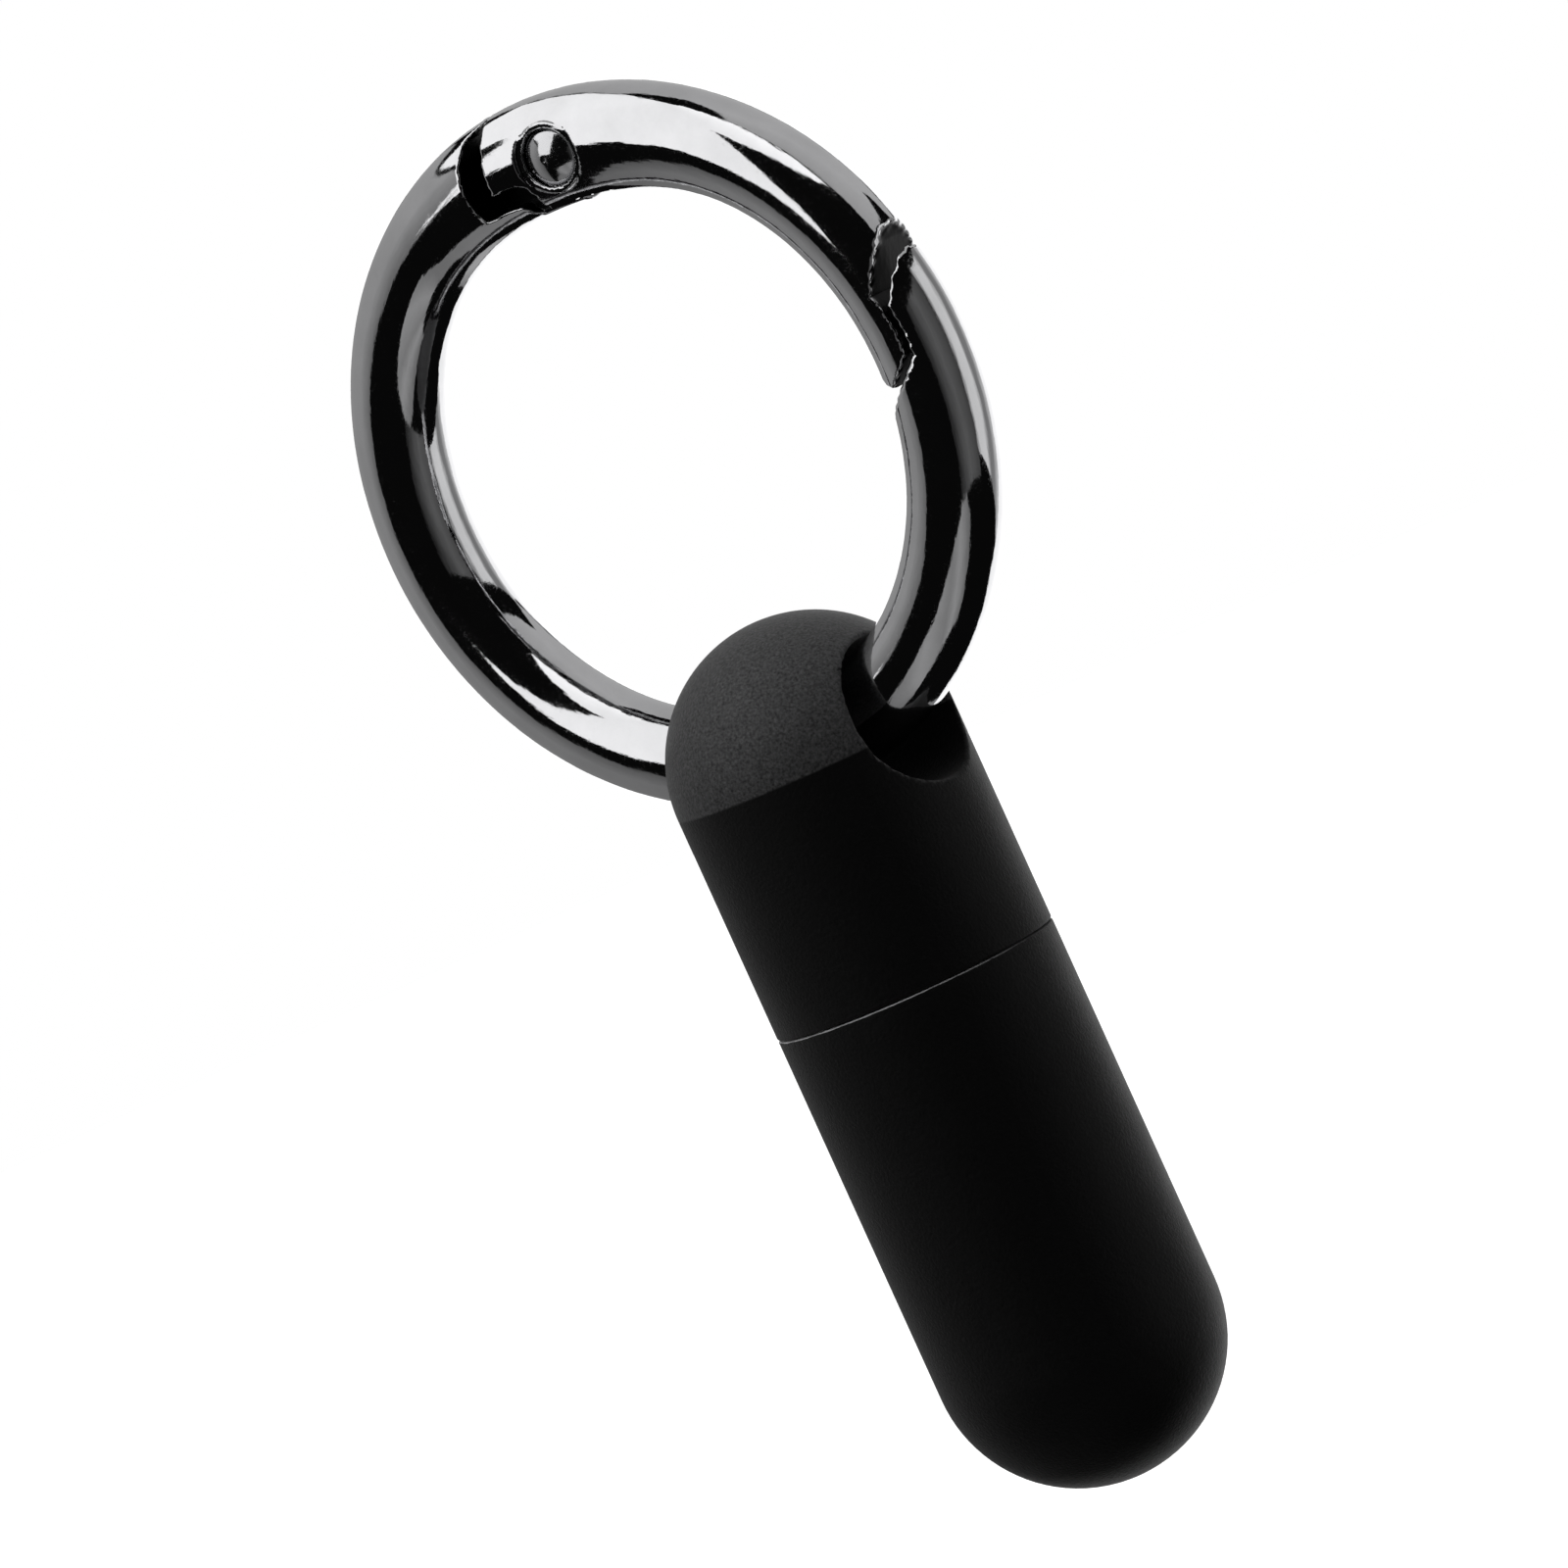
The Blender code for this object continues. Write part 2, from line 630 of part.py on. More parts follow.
def make_seal(parts, material):
    bpy.ops.mesh.primitive_torus_add(
        major_segments=SEAL_STEPS,
        minor_segments=SEAL_SIDES,
        major_radius=SEAL_MID_R * MM,
        minor_radius=SEAL_WIRE_R * MM,
    )
    startup = bpy.context.active_object
    mesh = startup.data
    bpy.data.objects.remove(startup)
    seal = new_object("seal_ring", mesh, parts, material)
    seal.location = (0, 0, (SEAM_Z + SEAL_HEIGHT) * MM)
    seal.data.shade_smooth()
    return seal


def main():
    clear_scene()
    parts = new_collection("carabiner_keyring")
    cutters = new_collection("cutters")
    cutters.hide_render = True

    plating = new_material("dark_nickel_plate", DARK_NICKEL, metallic=1.0, roughness=0.12)
    gate_plating = new_material("dark_nickel_gate", DARK_NICKEL, metallic=1.0, roughness=0.12)
    pin_plating = new_material("dark_nickel_rivet", RIVET_NICKEL, metallic=1.0, roughness=0.18)
    spring_steel = new_material("spring_steel", SPRING_STEEL, metallic=1.0, roughness=0.3)
    cap_anodised = new_material("black_anodised_cap", BLACK_ANODISED, metallic=0.6, roughness=0.45)
    vessel_anodised = new_material("black_anodised_vessel", BLACK_ANODISED, metallic=0.6, roughness=0.45)
    rubber = new_material("black_rubber", BLACK_RUBBER, metallic=0.0, roughness=0.7)

    make_ring_body(parts, cutters, plating)
    make_gate(parts, cutters, gate_plating)
    make_hinge_pin(parts, pin_plating)
    make_spring(parts, spring_steel)
    make_cap(parts, cutters, cap_anodised)
    make_vessel(parts, cutters, vessel_anodised)
    make_seal(parts, rubber)


main()
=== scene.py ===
import math
from math import cos, exp, hypot, pi, radians, sin, sqrt, tau

import bpy
import numpy as np
from mathutils import Matrix, Vector


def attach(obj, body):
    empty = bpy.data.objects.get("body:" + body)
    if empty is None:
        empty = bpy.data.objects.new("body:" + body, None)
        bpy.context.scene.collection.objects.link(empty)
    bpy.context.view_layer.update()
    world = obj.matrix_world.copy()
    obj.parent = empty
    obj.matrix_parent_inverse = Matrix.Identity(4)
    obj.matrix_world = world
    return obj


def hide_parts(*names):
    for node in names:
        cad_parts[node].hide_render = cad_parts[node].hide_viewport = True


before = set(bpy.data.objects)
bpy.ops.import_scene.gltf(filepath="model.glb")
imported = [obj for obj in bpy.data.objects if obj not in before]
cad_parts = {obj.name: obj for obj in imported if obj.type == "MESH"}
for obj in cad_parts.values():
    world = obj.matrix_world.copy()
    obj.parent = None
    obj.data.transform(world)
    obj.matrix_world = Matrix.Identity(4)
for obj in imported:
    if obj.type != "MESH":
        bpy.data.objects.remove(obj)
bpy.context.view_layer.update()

# Carabiner keyring: a dark, polished spring-gate ring with a matte black screw capsule hanging on it.
# Lengths are in millimetres. Positions in the ring's plane are (x, z) pairs, and angles along the ring
# run clockwise from +Z as seen from the front, which faces -Y.

MM = 0.001
RING_MID_R = 15.25
BAR_R = 2.25
SWELL = 0.95
SWELL_SPREAD = 31.0
SWELL_SIDEWAYS = 0.5
INSIDE_R = 10.0
OUTSIDE_R = 20.5

# Hinge.
PIN_CENTRE = (1.9, 14.6)
PIN_R = 0.6
PIN_HOLE_R = 0.7
RIVET_UNDERSIDE_Y = 1.63
RIVET_DOME_R = 1.38
RIVET_CROWN = 0.6
RIVET_TOP_Y = 2.55
RIVET_DENT_R = 0.14
RIVET_DENT_DEPTH = 0.02
BOSS_R = 1.72
BOSS_FACE_Y = 2.22
SPOTFACE_MARGIN = 0.06
RECESS_R = 1.42
RECESS_FLOOR_Y = 1.6
FORK_HALF_GAP = 1.05
SLOT_CEILING_Z = 16.62
SLOT_END_R = 2.05
SLOT_OPEN_X = -6.0
SLOT_FOOT_ANGLE = 145.0
TONGUE_END_R = 1.65
TONGUE_BACK_Y = 0.9
TONGUE_ROOT_X = -4.4
TONGUE_ROOT_FLARE = 0.1
FOOT_TOP_FROM_PIN = 1.45
FOOT_TOP_SWEEP = (180.0, 215.0)
FOOT_LEFT_X = -1.3
FOOT_BACK_Y = 0.88

# Heel of the gate, and the gap round it.
HINGE_GAP_R = 5.15
HEEL_TOP = (-1.45, 17.3)
HEEL_TOP_LEAN = 0.2
HEEL_LOW = (-1.85, 13.95)
HEEL_UNDERSIDE = ((-0.4, 14.0), (0.05, 13.75), (0.22, 13.2))
KNUCKLE_FROM_PIN = 3.0
KNUCKLE_ANGLE = 218.0
KNUCKLE_FOOT = ((0.0, 11.6), (0.5, INSIDE_R))
SHELF_TOP_Z = 13.0
SHELF_START_ANGLE = 202.0
SHELF_FOOT = (0.9, INSIDE_R)
LIP_TOP = (-1.8, 17.2)
LIP_FACE_ANGLE = -65.0

# Latch.
LATCH_FIT = 0.3
GATE_NOSE_R = 15.72
GATE_CHIN = ((91.3, 12.75), (92.9, 13.15), (94.4, 13.7))
GATE_TIP_FROM_PIN = 20.2
GATE_TIP_INNER_R = 14.3
NOSE_START_TRIM = 0.6
NOSE_END_TRIM = 2.5
LIP_START_TRIM = 1.5
LIP_END_TRIM = 1.0
SCARF_GATE = ((15.27, 2.9), (16.23, 4.96))
GATE_BLUNT = (16.42, 5.6)
SCARF_GAP = 0.8
LIP_BLUNT_LENGTH = 0.15
LIP_RELIEF_DIRECTION = (0.8, 0.6)
LIP_RELIEF_LENGTH = 3.2
SCARF_TOP_Z = 8.0
GATE_INNER_SWEEP = (12.0, 88.0)
GATE_OUTER_START = 69.5
GATE_OUTER_SWEEP = (60.0, 10.0)
GAP_INNER_SWEEP = (12.0, 90.0)
GAP_OUTER_SWEEP = (66.0, 6.0)
ARC_STEPS = 24

# Rounding of the ring's polished edges.
OUTLINE_EDGE_R = 0.13
GATE_EDGE_R = 0.1
SCARF_EDGE_R = 0.24
SLOT_EDGE_R = 0.06
RIM_EDGE_R = 0.1
RECESS_EDGE_R = 0.05
EDGE_WOBBLE = 0.026
EDGE_WOBBLE_REACH = 0.22
CUT_DEPTH = 0.1

# Spring.
WIRE_R = 0.12
LEG_WIRE_R = WIRE_R * 0.97
COIL_R = 1.0
COIL_TURNS = 2
COIL_FIRST_Y = -0.22
COIL_PITCH = 0.29
LEG_TO_RING = (-2.55, 15.8)
LEG_TO_GATE = (5.1, 14.95)
LEG_CHANNEL_HALF = 0.35
GATE_OPEN_ANGLE = 30.0

# Capsule.
CAPSULE_R = 7.0
CAP_DOME_BASE_Z = -16.05
SEAM_Z = -27.3
SEAM_GAP = 0.07
SEAM_EDGE_R = 0.1
VESSEL_DOME_BASE_Z = -45.8
CROSS_HOLE_R = 3.75
CROSS_HOLE_Z = -15.3
HOLE_EDGE_R = 0.22
THREAD_PITCH = 1.25
THREAD_TURNS = 5
THREAD_MID_R = 5.5
THREAD_RIB_R = 0.36
THREAD_PLAY = 0.12
THREAD_RUN_IN = 0.9
THREAD_RUN_OUT = 0.5
THREAD_FIRST = 2.4
THREAD_LAST = 4.9
SPIGOT_R = 5.5
SPIGOT_TOP = 5.7
SPIGOT_LEAD = 0.45
GROOVE_R = 4.95
GROOVE_TOP = 1.5
SOCKET_R = 5.64
SOCKET_TOP = 6.4
COUNTERBORE_R = 6.15
COUNTERBORE_TOP = 1.7
BORE_R = 4.2
SEAL_MID_R = 5.52
SEAL_WIRE_R = 0.42
SEAL_HEIGHT = 0.78
FLASH_HEIGHT = 0.018
FLASH_WIDTH = 0.12


# ---------------------------------------------------------------- plane geometry


def polar(angle, radius, centre=(0.0, 0.0)):
    """The (x, z) point at this clockwise angle in degrees from +Z, this far from the centre."""
    return (centre[0] + radius * sin(radians(angle)), centre[1] + radius * cos(radians(angle)))


def angle_of(point, centre=(0.0, 0.0)):
    return math.degrees(math.atan2(point[0] - centre[0], point[1] - centre[1]))


def arc(centre, radius, first, last):
    return [polar(first + (last - first) * i / ARC_STEPS, radius, centre) for i in range(ARC_STEPS + 1)]


def circles_meet(radius, centre, other_radius):
    """The right-hand point where a circle about the ring's centre meets one about another centre."""
    distance = hypot(*centre)
    along = (radius**2 - other_radius**2 + distance**2) / (2 * distance)
    across = sqrt(radius**2 - along**2)
    ux, uz = centre[0] / distance, centre[1] / distance
    return (along * ux + across * uz, along * uz - across * ux)


def shifted(point, direction, distance):
    return (point[0] + direction[0] * distance, point[1] + direction[1] * distance)


def scarf_direction():
    (x0, z0), (x1, z1) = SCARF_GATE
    length = hypot(x1 - x0, z1 - z0)
    return ((x1 - x0) / length, (z1 - z0) / length)


def gate_outline():
    """The region of the ring's plane that the gate takes."""
    knuckle = polar(KNUCKLE_ANGLE, KNUCKLE_FROM_PIN, PIN_CENTRE)
    nose_end = circles_meet(GATE_NOSE_R, PIN_CENTRE, GATE_TIP_FROM_PIN)
    tip_start = circles_meet(GATE_TIP_INNER_R, PIN_CENTRE, GATE_TIP_FROM_PIN)
    tip_sweep = (angle_of(tip_start, PIN_CENTRE), angle_of(nose_end, PIN_CENTRE))
    nose_sweep = (angle_of(nose_end) - NOSE_START_TRIM, angle_of(SCARF_GATE[0]) + NOSE_END_TRIM)
    points = [(HEEL_TOP[0] + HEEL_TOP_LEAN, OUTSIDE_R), HEEL_TOP, HEEL_LOW, *HEEL_UNDERSIDE]
    points += [knuckle, *KNUCKLE_FOOT]
    points += arc((0, 0), INSIDE_R, *GATE_INNER_SWEEP)
    points += [polar(*corner) for corner in GATE_CHIN]
    points += arc(PIN_CENTRE, GATE_TIP_FROM_PIN, *tip_sweep)
    points += arc((0, 0), GATE_NOSE_R, *nose_sweep)
    points += [*SCARF_GATE, GATE_BLUNT, polar(GATE_OUTER_START, OUTSIDE_R)]
    points += arc((0, 0), OUTSIDE_R, *GATE_OUTER_SWEEP)
    return points


def body_gap_outline():
    """The region cut from the ring to leave its body: the gate's place with room to move."""
    lip_face_r = GATE_NOSE_R + LATCH_FIT
    step_r = GATE_TIP_FROM_PIN + LATCH_FIT
    along = scarf_direction()
    away = (along[1], -along[0])
    scarf_low = shifted(SCARF_GATE[0], away, SCARF_GAP)
    scarf_high = shifted(SCARF_GATE[1], away, SCARF_GAP)
    lip_end = shifted(scarf_high, along, -LIP_BLUNT_LENGTH)
    step_top = circles_meet(lip_face_r, PIN_CENTRE, step_r)
    step_foot = circles_meet(INSIDE_R, PIN_CENTRE, step_r)
    shelf_r = KNUCKLE_FROM_PIN + LATCH_FIT
    shelf_drop = PIN_CENTRE[1] - SHELF_TOP_Z
    shelf_end_angle = 180 + math.degrees(math.acos(shelf_drop / shelf_r))
    gap_low_angle = -180 + math.degrees(math.acos(shelf_drop / HINGE_GAP_R))
    step_sweep = (angle_of(step_foot, PIN_CENTRE), angle_of(step_top, PIN_CENTRE))
    lip_sweep = (angle_of(step_top) - LIP_START_TRIM, angle_of(scarf_low) + LIP_END_TRIM)
    points = [(LIP_TOP[0], OUTSIDE_R), LIP_TOP]
    points += arc(PIN_CENTRE, HINGE_GAP_R, LIP_FACE_ANGLE, gap_low_angle)
    points += arc(PIN_CENTRE, shelf_r, shelf_end_angle, SHELF_START_ANGLE)
    points += [SHELF_FOOT]
    points += arc((0, 0), INSIDE_R, *GAP_INNER_SWEEP)
    points += arc(PIN_CENTRE, step_r, *step_sweep)
    points += arc((0, 0), lip_face_r, *lip_sweep)
    points += [scarf_low, lip_end, shifted(lip_end, LIP_RELIEF_DIRECTION, LIP_RELIEF_LENGTH)]
    points += arc((0, 0), OUTSIDE_R, *GAP_OUTER_SWEEP)
    return points


def tongue_outline():
    end = arc(PIN_CENTRE, TONGUE_END_R, 0, 180)
    root_top = (TONGUE_ROOT_X, PIN_CENTRE[1] + TONGUE_END_R - TONGUE_ROOT_FLARE)
    root_bottom = (TONGUE_ROOT_X, PIN_CENTRE[1] - TONGUE_END_R - TONGUE_ROOT_FLARE)
    return [root_top, *end, root_bottom]


def foot_outline():
    """What stays of the ring below the pin, in the fork's slot."""
    top = arc(PIN_CENTRE, FOOT_TOP_FROM_PIN, *FOOT_TOP_SWEEP)
    return [(FOOT_LEFT_X, INSIDE_R), (PIN_CENTRE[0], INSIDE_R), *top, (FOOT_LEFT_X, SHELF_TOP_Z)]


def slot_outline():
    """The fork's slot: round the pin on the right, and open below as far as the foot needs."""
    start = math.degrees(math.acos((SLOT_CEILING_Z - PIN_CENTRE[1]) / SLOT_END_R))
    end = arc(PIN_CENTRE, SLOT_END_R, start, SLOT_FOOT_ANGLE)
    below = polar(SLOT_FOOT_ANGLE, 2 * SLOT_END_R, PIN_CENTRE)
    return [(SLOT_OPEN_X, SLOT_CEILING_Z), *end, below, (SLOT_OPEN_X, INSIDE_R)]


def leg_channel_outline():
    x0, z0 = PIN_CENTRE[0], PIN_CENTRE[1] + COIL_R
    x1, z1 = LEG_TO_GATE[0] + LEG_CHANNEL_HALF, LEG_TO_GATE[1]
    half = LEG_CHANNEL_HALF
    return [(x0, z0 + half), (x1, z1 + half), (x1, z1 - half), (x0, z0 - half)]


# ---------------------------------------------------------------- solid shapes as distance fields
# A field gives the distance in millimetres to a surface, negative inside.


def outline_distance(outline, x, z):
    """Distance in the ring's plane to a closed (x, z) outline."""
    x, z = np.broadcast_arrays(x, z)
    nearest = np.full(x.shape, np.inf)
    inside = np.zeros(x.shape, bool)
    for (ax, az), (bx, bz) in zip(outline, outline[1:] + outline[:1]):
        ex, ez = bx - ax, bz - az
        length2 = ex * ex + ez * ez
        if length2 == 0:
            continue
        wx, wz = x - ax, z - az
        t = np.clip((wx * ex + wz * ez) / length2, 0, 1)
        nearest = np.minimum(nearest, (wx - t * ex) ** 2 + (wz - t * ez) ** 2)
        if ez:
            crosses = (az <= z) != (bz <= z)
            inside ^= crosses & (wx < ex * wz / ez)
    return np.where(inside, -1.0, 1.0) * np.sqrt(nearest)


def both(a, b, r):
    """What lies in both shapes, the edge between them rounded to radius r."""
    return np.minimum(-r, np.maximum(a, b)) + np.hypot(np.maximum(r + a, 0), np.maximum(r + b, 0))


def either(a, b, r):
    """What lies in either shape, the corner between them filled to radius r."""
    return -both(-a, -b, r)


def without(a, b, r):
    return both(a, -b, r)


def bar_distance(x, y, z):
    """The whole closed ring of round bar, swollen near the hinge."""
    radius = np.hypot(x, z)
    swell = SWELL * np.exp(-((np.degrees(np.arctan2(x, z)) / SWELL_SPREAD) ** 2))
    half_in = BAR_R + swell / 2
    half_side = BAR_R + SWELL_SIDEWAYS * swell / 2
    u = (radius - RING_MID_R + swell / 2) / half_in
    v = y / half_side
    k = np.hypot(u, v) + 1e-9
    return (k - 1) * k / (np.hypot(u / half_in, v / half_side) + 1e-9)


def wobble(x, y, z):
    """The unevenness of an edge cast and polished by hand, fading out away from the bar's surface."""
    slow = np.sin(7.3 * y + 2.9 * z - 1.7 * x) + np.sin(11.9 * z - 6.1 * y + 4.3 * x + 1.0)
    near_outside = np.exp(-((bar_distance(x, y, z) / EDGE_WOBBLE_REACH) ** 2))
    return EDGE_WOBBLE * near_outside * (slow + 0.25 * np.sin(19.0 * y + 13.0 * x + 8.0 * z))


def ring_body_field(x, y, z):
    from_pin = np.hypot(x - PIN_CENTRE[0], z - PIN_CENTRE[1])
    foot = np.maximum(outline_distance(FOOT, x, z), np.maximum(y - FOOT_BACK_Y, -TONGUE_BACK_Y - y))
    gap = np.maximum(outline_distance(GAP, x, z) + wobble(x, y, z), -foot)
    edge_r = np.where(z < SCARF_TOP_Z, SCARF_EDGE_R, OUTLINE_EDGE_R)
    shape = without(bar_distance(x, y, z), gap, edge_r)
    half = TONGUE_BACK_Y / 2
    tongue = both(outline_distance(TONGUE, x, z), np.abs(y - half) - half, SLOT_EDGE_R)
    shape = either(shape, tongue, SLOT_EDGE_R)
    return without(shape, from_pin - PIN_HOLE_R, SLOT_EDGE_R)


def gate_field(x, y, z):
    from_pin = np.hypot(x - PIN_CENTRE[0], z - PIN_CENTRE[1])
    side = np.abs(y)
    region = outline_distance(GATE, x, z) + wobble(x, y, z)
    shape = both(bar_distance(x, y, z), region, GATE_EDGE_R)
    seat = both(from_pin - BOSS_R, side - BOSS_FACE_Y, RIM_EDGE_R)
    shape = either(shape, seat, SLOT_EDGE_R)
    shape = without(shape, np.maximum(from_pin - BOSS_R - SPOTFACE_MARGIN, BOSS_FACE_Y - side), SLOT_EDGE_R)
    shape = without(shape, np.maximum(from_pin - RECESS_R, RECESS_FLOOR_Y - side), RECESS_EDGE_R)
    shape = without(shape, np.maximum(outline_distance(SLOT, x, z), side - FORK_HALF_GAP), SLOT_EDGE_R)
    channel_back = COIL_FIRST_Y - COIL_PITCH
    channel = np.maximum(outline_distance(CHANNEL, x, z), np.maximum(y - channel_back, -FORK_HALF_GAP - y))
    shape = np.maximum(shape, -channel)
    return without(shape, from_pin - PIN_HOLE_R, SLOT_EDGE_R)


def thread_distance(radius, angle, height, first, last, wire_r):
    """The right-hand thread's rib, whose middle line rises one pitch a turn above the seam."""
    along = (height - angle / tau * THREAD_PITCH + THREAD_PITCH / 2) % THREAD_PITCH - THREAD_PITCH / 2
    beyond = np.maximum(np.maximum(first - height, height - last), 0)
    return np.hypot(np.hypot(radius - THREAD_MID_R, along), beyond) - wire_r


def cap_field(x, y, z):
    radius = np.hypot(x, y)
    height = z - SEAM_Z
    outside = np.hypot(radius, np.maximum(z - CAP_DOME_BASE_Z, 0)) - CAPSULE_R
    shape = both(outside, SEAM_GAP / 2 - height, SEAM_EDGE_R)
    cone = np.clip(COUNTERBORE_TOP + COUNTERBORE_R - SOCKET_R - height, 0, COUNTERBORE_R - SOCKET_R)
    socket = np.maximum(radius - SOCKET_R - cone, height - SOCKET_TOP)
    first, last = THREAD_FIRST - THREAD_RUN_IN, THREAD_LAST + THREAD_RUN_OUT
    groove = thread_distance(radius, np.arctan2(y, x), height, first, last, THREAD_RIB_R + THREAD_PLAY)
    shape = without(shape, np.minimum(socket, groove), SEAM_EDGE_R)
    return without(shape, np.hypot(y, z - CROSS_HOLE_Z) - CROSS_HOLE_R, HOLE_EDGE_R)


# ---------------------------------------------------------------- meshes from fields


def spaced(*stops):
    """Grid values through (value, step up to the next value) pairs, the last a bare value."""
    values = []
    for (start, step), after in zip(stops[:-1], stops[1:]):
        end = after[0] if isinstance(after, tuple) else after
        count = max(1, round((end - start) / step))
        values += [start + (end - start) * i / count for i in range(count)]
    return np.array([*values, stops[-1]])


def gradient(field, p, step):
    sides = []
    for axis in range(3):
        offset = np.zeros(3)
        offset[axis] = step
        sides.append(field(*(p + offset).T) - field(*(p - offset).T))
    return np.stack(sides, axis=-1) / (2 * step)


def net_of(field, xs, ys, zs):
    """Vertices, normals and quads of a field's surface: one vertex in each grid cell that it crosses."""
    values = field(xs[:, None, None], ys[None, :, None], zs[None, None, :])
    inside = values < 0
    corners = [(i, j, k) for i in (0, 1) for j in (0, 1) for k in (0, 1)]
    shape = tuple(n - 1 for n in inside.shape)
    count = sum(
        inside[i : i + shape[0], j : j + shape[1], k : k + shape[2]].astype(int) for i, j, k in corners
    )
    cells = np.argwhere((count > 0) & (count < 8))
    index = np.full(shape, -1)
    index[tuple(cells.T)] = np.arange(len(cells))
    at = cells[:, None, :] + np.array(corners)[None]
    v = values[at[..., 0], at[..., 1], at[..., 2]]
    p = np.stack([xs[at[..., 0]], ys[at[..., 1]], zs[at[..., 2]]], axis=-1)
    total = np.zeros((len(cells), 3))
    number = np.zeros(len(cells))
    for a in range(8):
        for bit in (4, 2, 1):
            b = a ^ bit
            if b < a:
                continue
            crosses = (v[:, a] < 0) != (v[:, b] < 0)
            t = v[:, a] / np.where(crosses, v[:, a] - v[:, b], 1)
            total += np.where(crosses[:, None], p[:, a] + t[:, None] * (p[:, b] - p[:, a]), 0)
            number += crosses
    points = total / number[:, None]
    for _ in range(4):
        slope = gradient(field, points, 0.004)
        value = field(*points.T)
        move = value / np.maximum((slope**2).sum(axis=1), 0.25)
        points -= np.clip(move, -0.06, 0.06)[:, None] * slope
    normals = gradient(field, points, 0.012)
    normals /= np.maximum(np.linalg.norm(normals, axis=1), 1e-9)[:, None]
    quads = []
    for axis in range(3):
        low = inside.take(range(inside.shape[axis] - 1), axis=axis)
        high = inside.take(range(1, inside.shape[axis]), axis=axis)
        edges = np.argwhere(low != high)
        b, c = (axis + 1) % 3, (axis + 2) % 3
        kept = (edges[:, b] >= 1) & (edges[:, b] < inside.shape[b] - 1)
        kept &= (edges[:, c] >= 1) & (edges[:, c] < inside.shape[c] - 1)
        edges = edges[kept]
        step_b, step_c = np.eye(3, dtype=int)[b], np.eye(3, dtype=int)[c]
        around = (edges, edges - step_b, edges - step_b - step_c, edges - step_c)
        loop = np.stack([index[tuple(cell.T)] for cell in around], axis=1)
        outward = low[tuple(edges.T)]
        quads.append(np.where(outward[:, None], loop, loop[:, ::-1]))
    return points, normals, np.concatenate(quads)


def mesh_object(name, points, faces, normals=None):
    """A smooth-shaded object from points in millimetres."""
    mesh = bpy.data.meshes.new(name)
    mesh.from_pydata((np.asarray(points) * MM).tolist(), [], [list(map(int, f)) for f in faces])
    mesh.shade_smooth()
    if normals is not None:
        mesh.normals_split_custom_set_from_vertices(np.asarray(normals).tolist())
    obj = bpy.data.objects.new(name, mesh)
    bpy.context.scene.collection.objects.link(obj)
    return obj


def mark_cuts(obj, points):
    """Marks what lies below the bar's polished outside, away from the rivet's seat: the cut faces, which the
    material makes rougher and paints near black, partly as unpolished metal and partly as painted shade in
    the gaps, slots and recesses.
    """
    x, y, z = points.T
    from_pin = np.hypot(x - PIN_CENTRE[0], z - PIN_CENTRE[1])
    depth = np.clip(-bar_distance(x, y, z) / CUT_DEPTH - 1, 0, 1)
    depth *= np.clip((from_pin - BOSS_R) / CUT_DEPTH, 0, 1)
    attribute = obj.data.attributes.new("cut", "FLOAT", "POINT")
    attribute.data.foreach_set("value", depth.astype(np.float32))


def grid_faces(rows, columns, wrap_rows=False, wrap_columns=False):
    faces = []
    for i in range(rows if wrap_rows else rows - 1):
        for j in range(columns if wrap_columns else columns - 1):
            i1, j1 = (i + 1) % rows, (j + 1) % columns
            faces.append((i * columns + j, i * columns + j1, i1 * columns + j1, i1 * columns + j))
    return faces


def rounded(profile, radius_at, steps=5):
    """A (radius, z) profile whose listed corners are rounded: {index: rounding radius}."""
    points = []
    for i, point in enumerate(profile):
        if i not in radius_at:
            points.append(point)
            continue
        corner = np.array(point)
        before, after = np.array(profile[i - 1]) - corner, np.array(profile[i + 1]) - corner
        start = corner + before / np.linalg.norm(before) * radius_at[i]
        end = corner + after / np.linalg.norm(after) * radius_at[i]
        for k in range(steps + 1):
            t = k / steps
            points.append(tuple((1 - t) ** 2 * start + 2 * t * (1 - t) * corner + t**2 * end))
    return points


def refined(profile, longest):
    """The same profile with its long straight runs split, so that no step is longer than this."""
    points = [profile[0]]
    for a, b in zip(profile, profile[1:]):
        count = max(1, math.ceil(hypot(b[0] - a[0], b[1] - a[1]) / longest))
        for i in range(1, count + 1):
            points.append((a[0] + (b[0] - a[0]) * i / count, a[1] + (b[1] - a[1]) * i / count))
    return points


def dome(radius, base_z, upward, steps):
    """Profile points from a round end's tip to its base."""
    side = 1 if upward else -1
    return [
        (radius * sin(pi / 2 * i / steps), base_z + side * radius * cos(pi / 2 * i / steps))
        for i in range(steps + 1)
    ]


def turned(name, profile, steps, bulge=None):
    """A solid turned about Z from a (radius, z) profile that starts and ends on the axis.

    bulge(radius, angle, z) may give another radius for a point, as for a thread.
    """
    ends = (profile[0], profile[-1])
    inner = profile[1:-1]
    points = []
    for radius, z in inner:
        for j in range(steps):
            angle = tau * j / steps
            r = bulge(radius, angle, z) if bulge else radius
            points.append((r * cos(angle), r * sin(angle), z))
    faces = grid_faces(len(inner), steps, wrap_columns=True)
    first, last = len(points), len(points) + 1
    points += [(0, 0, ends[0][1]), (0, 0, ends[1][1])]
    tail = (len(inner) - 1) * steps
    faces += [(first, (j + 1) % steps, j) for j in range(steps)]
    faces += [(last, tail + j, tail + (j + 1) % steps) for j in range(steps)]
    return mesh_object(name, points, faces)


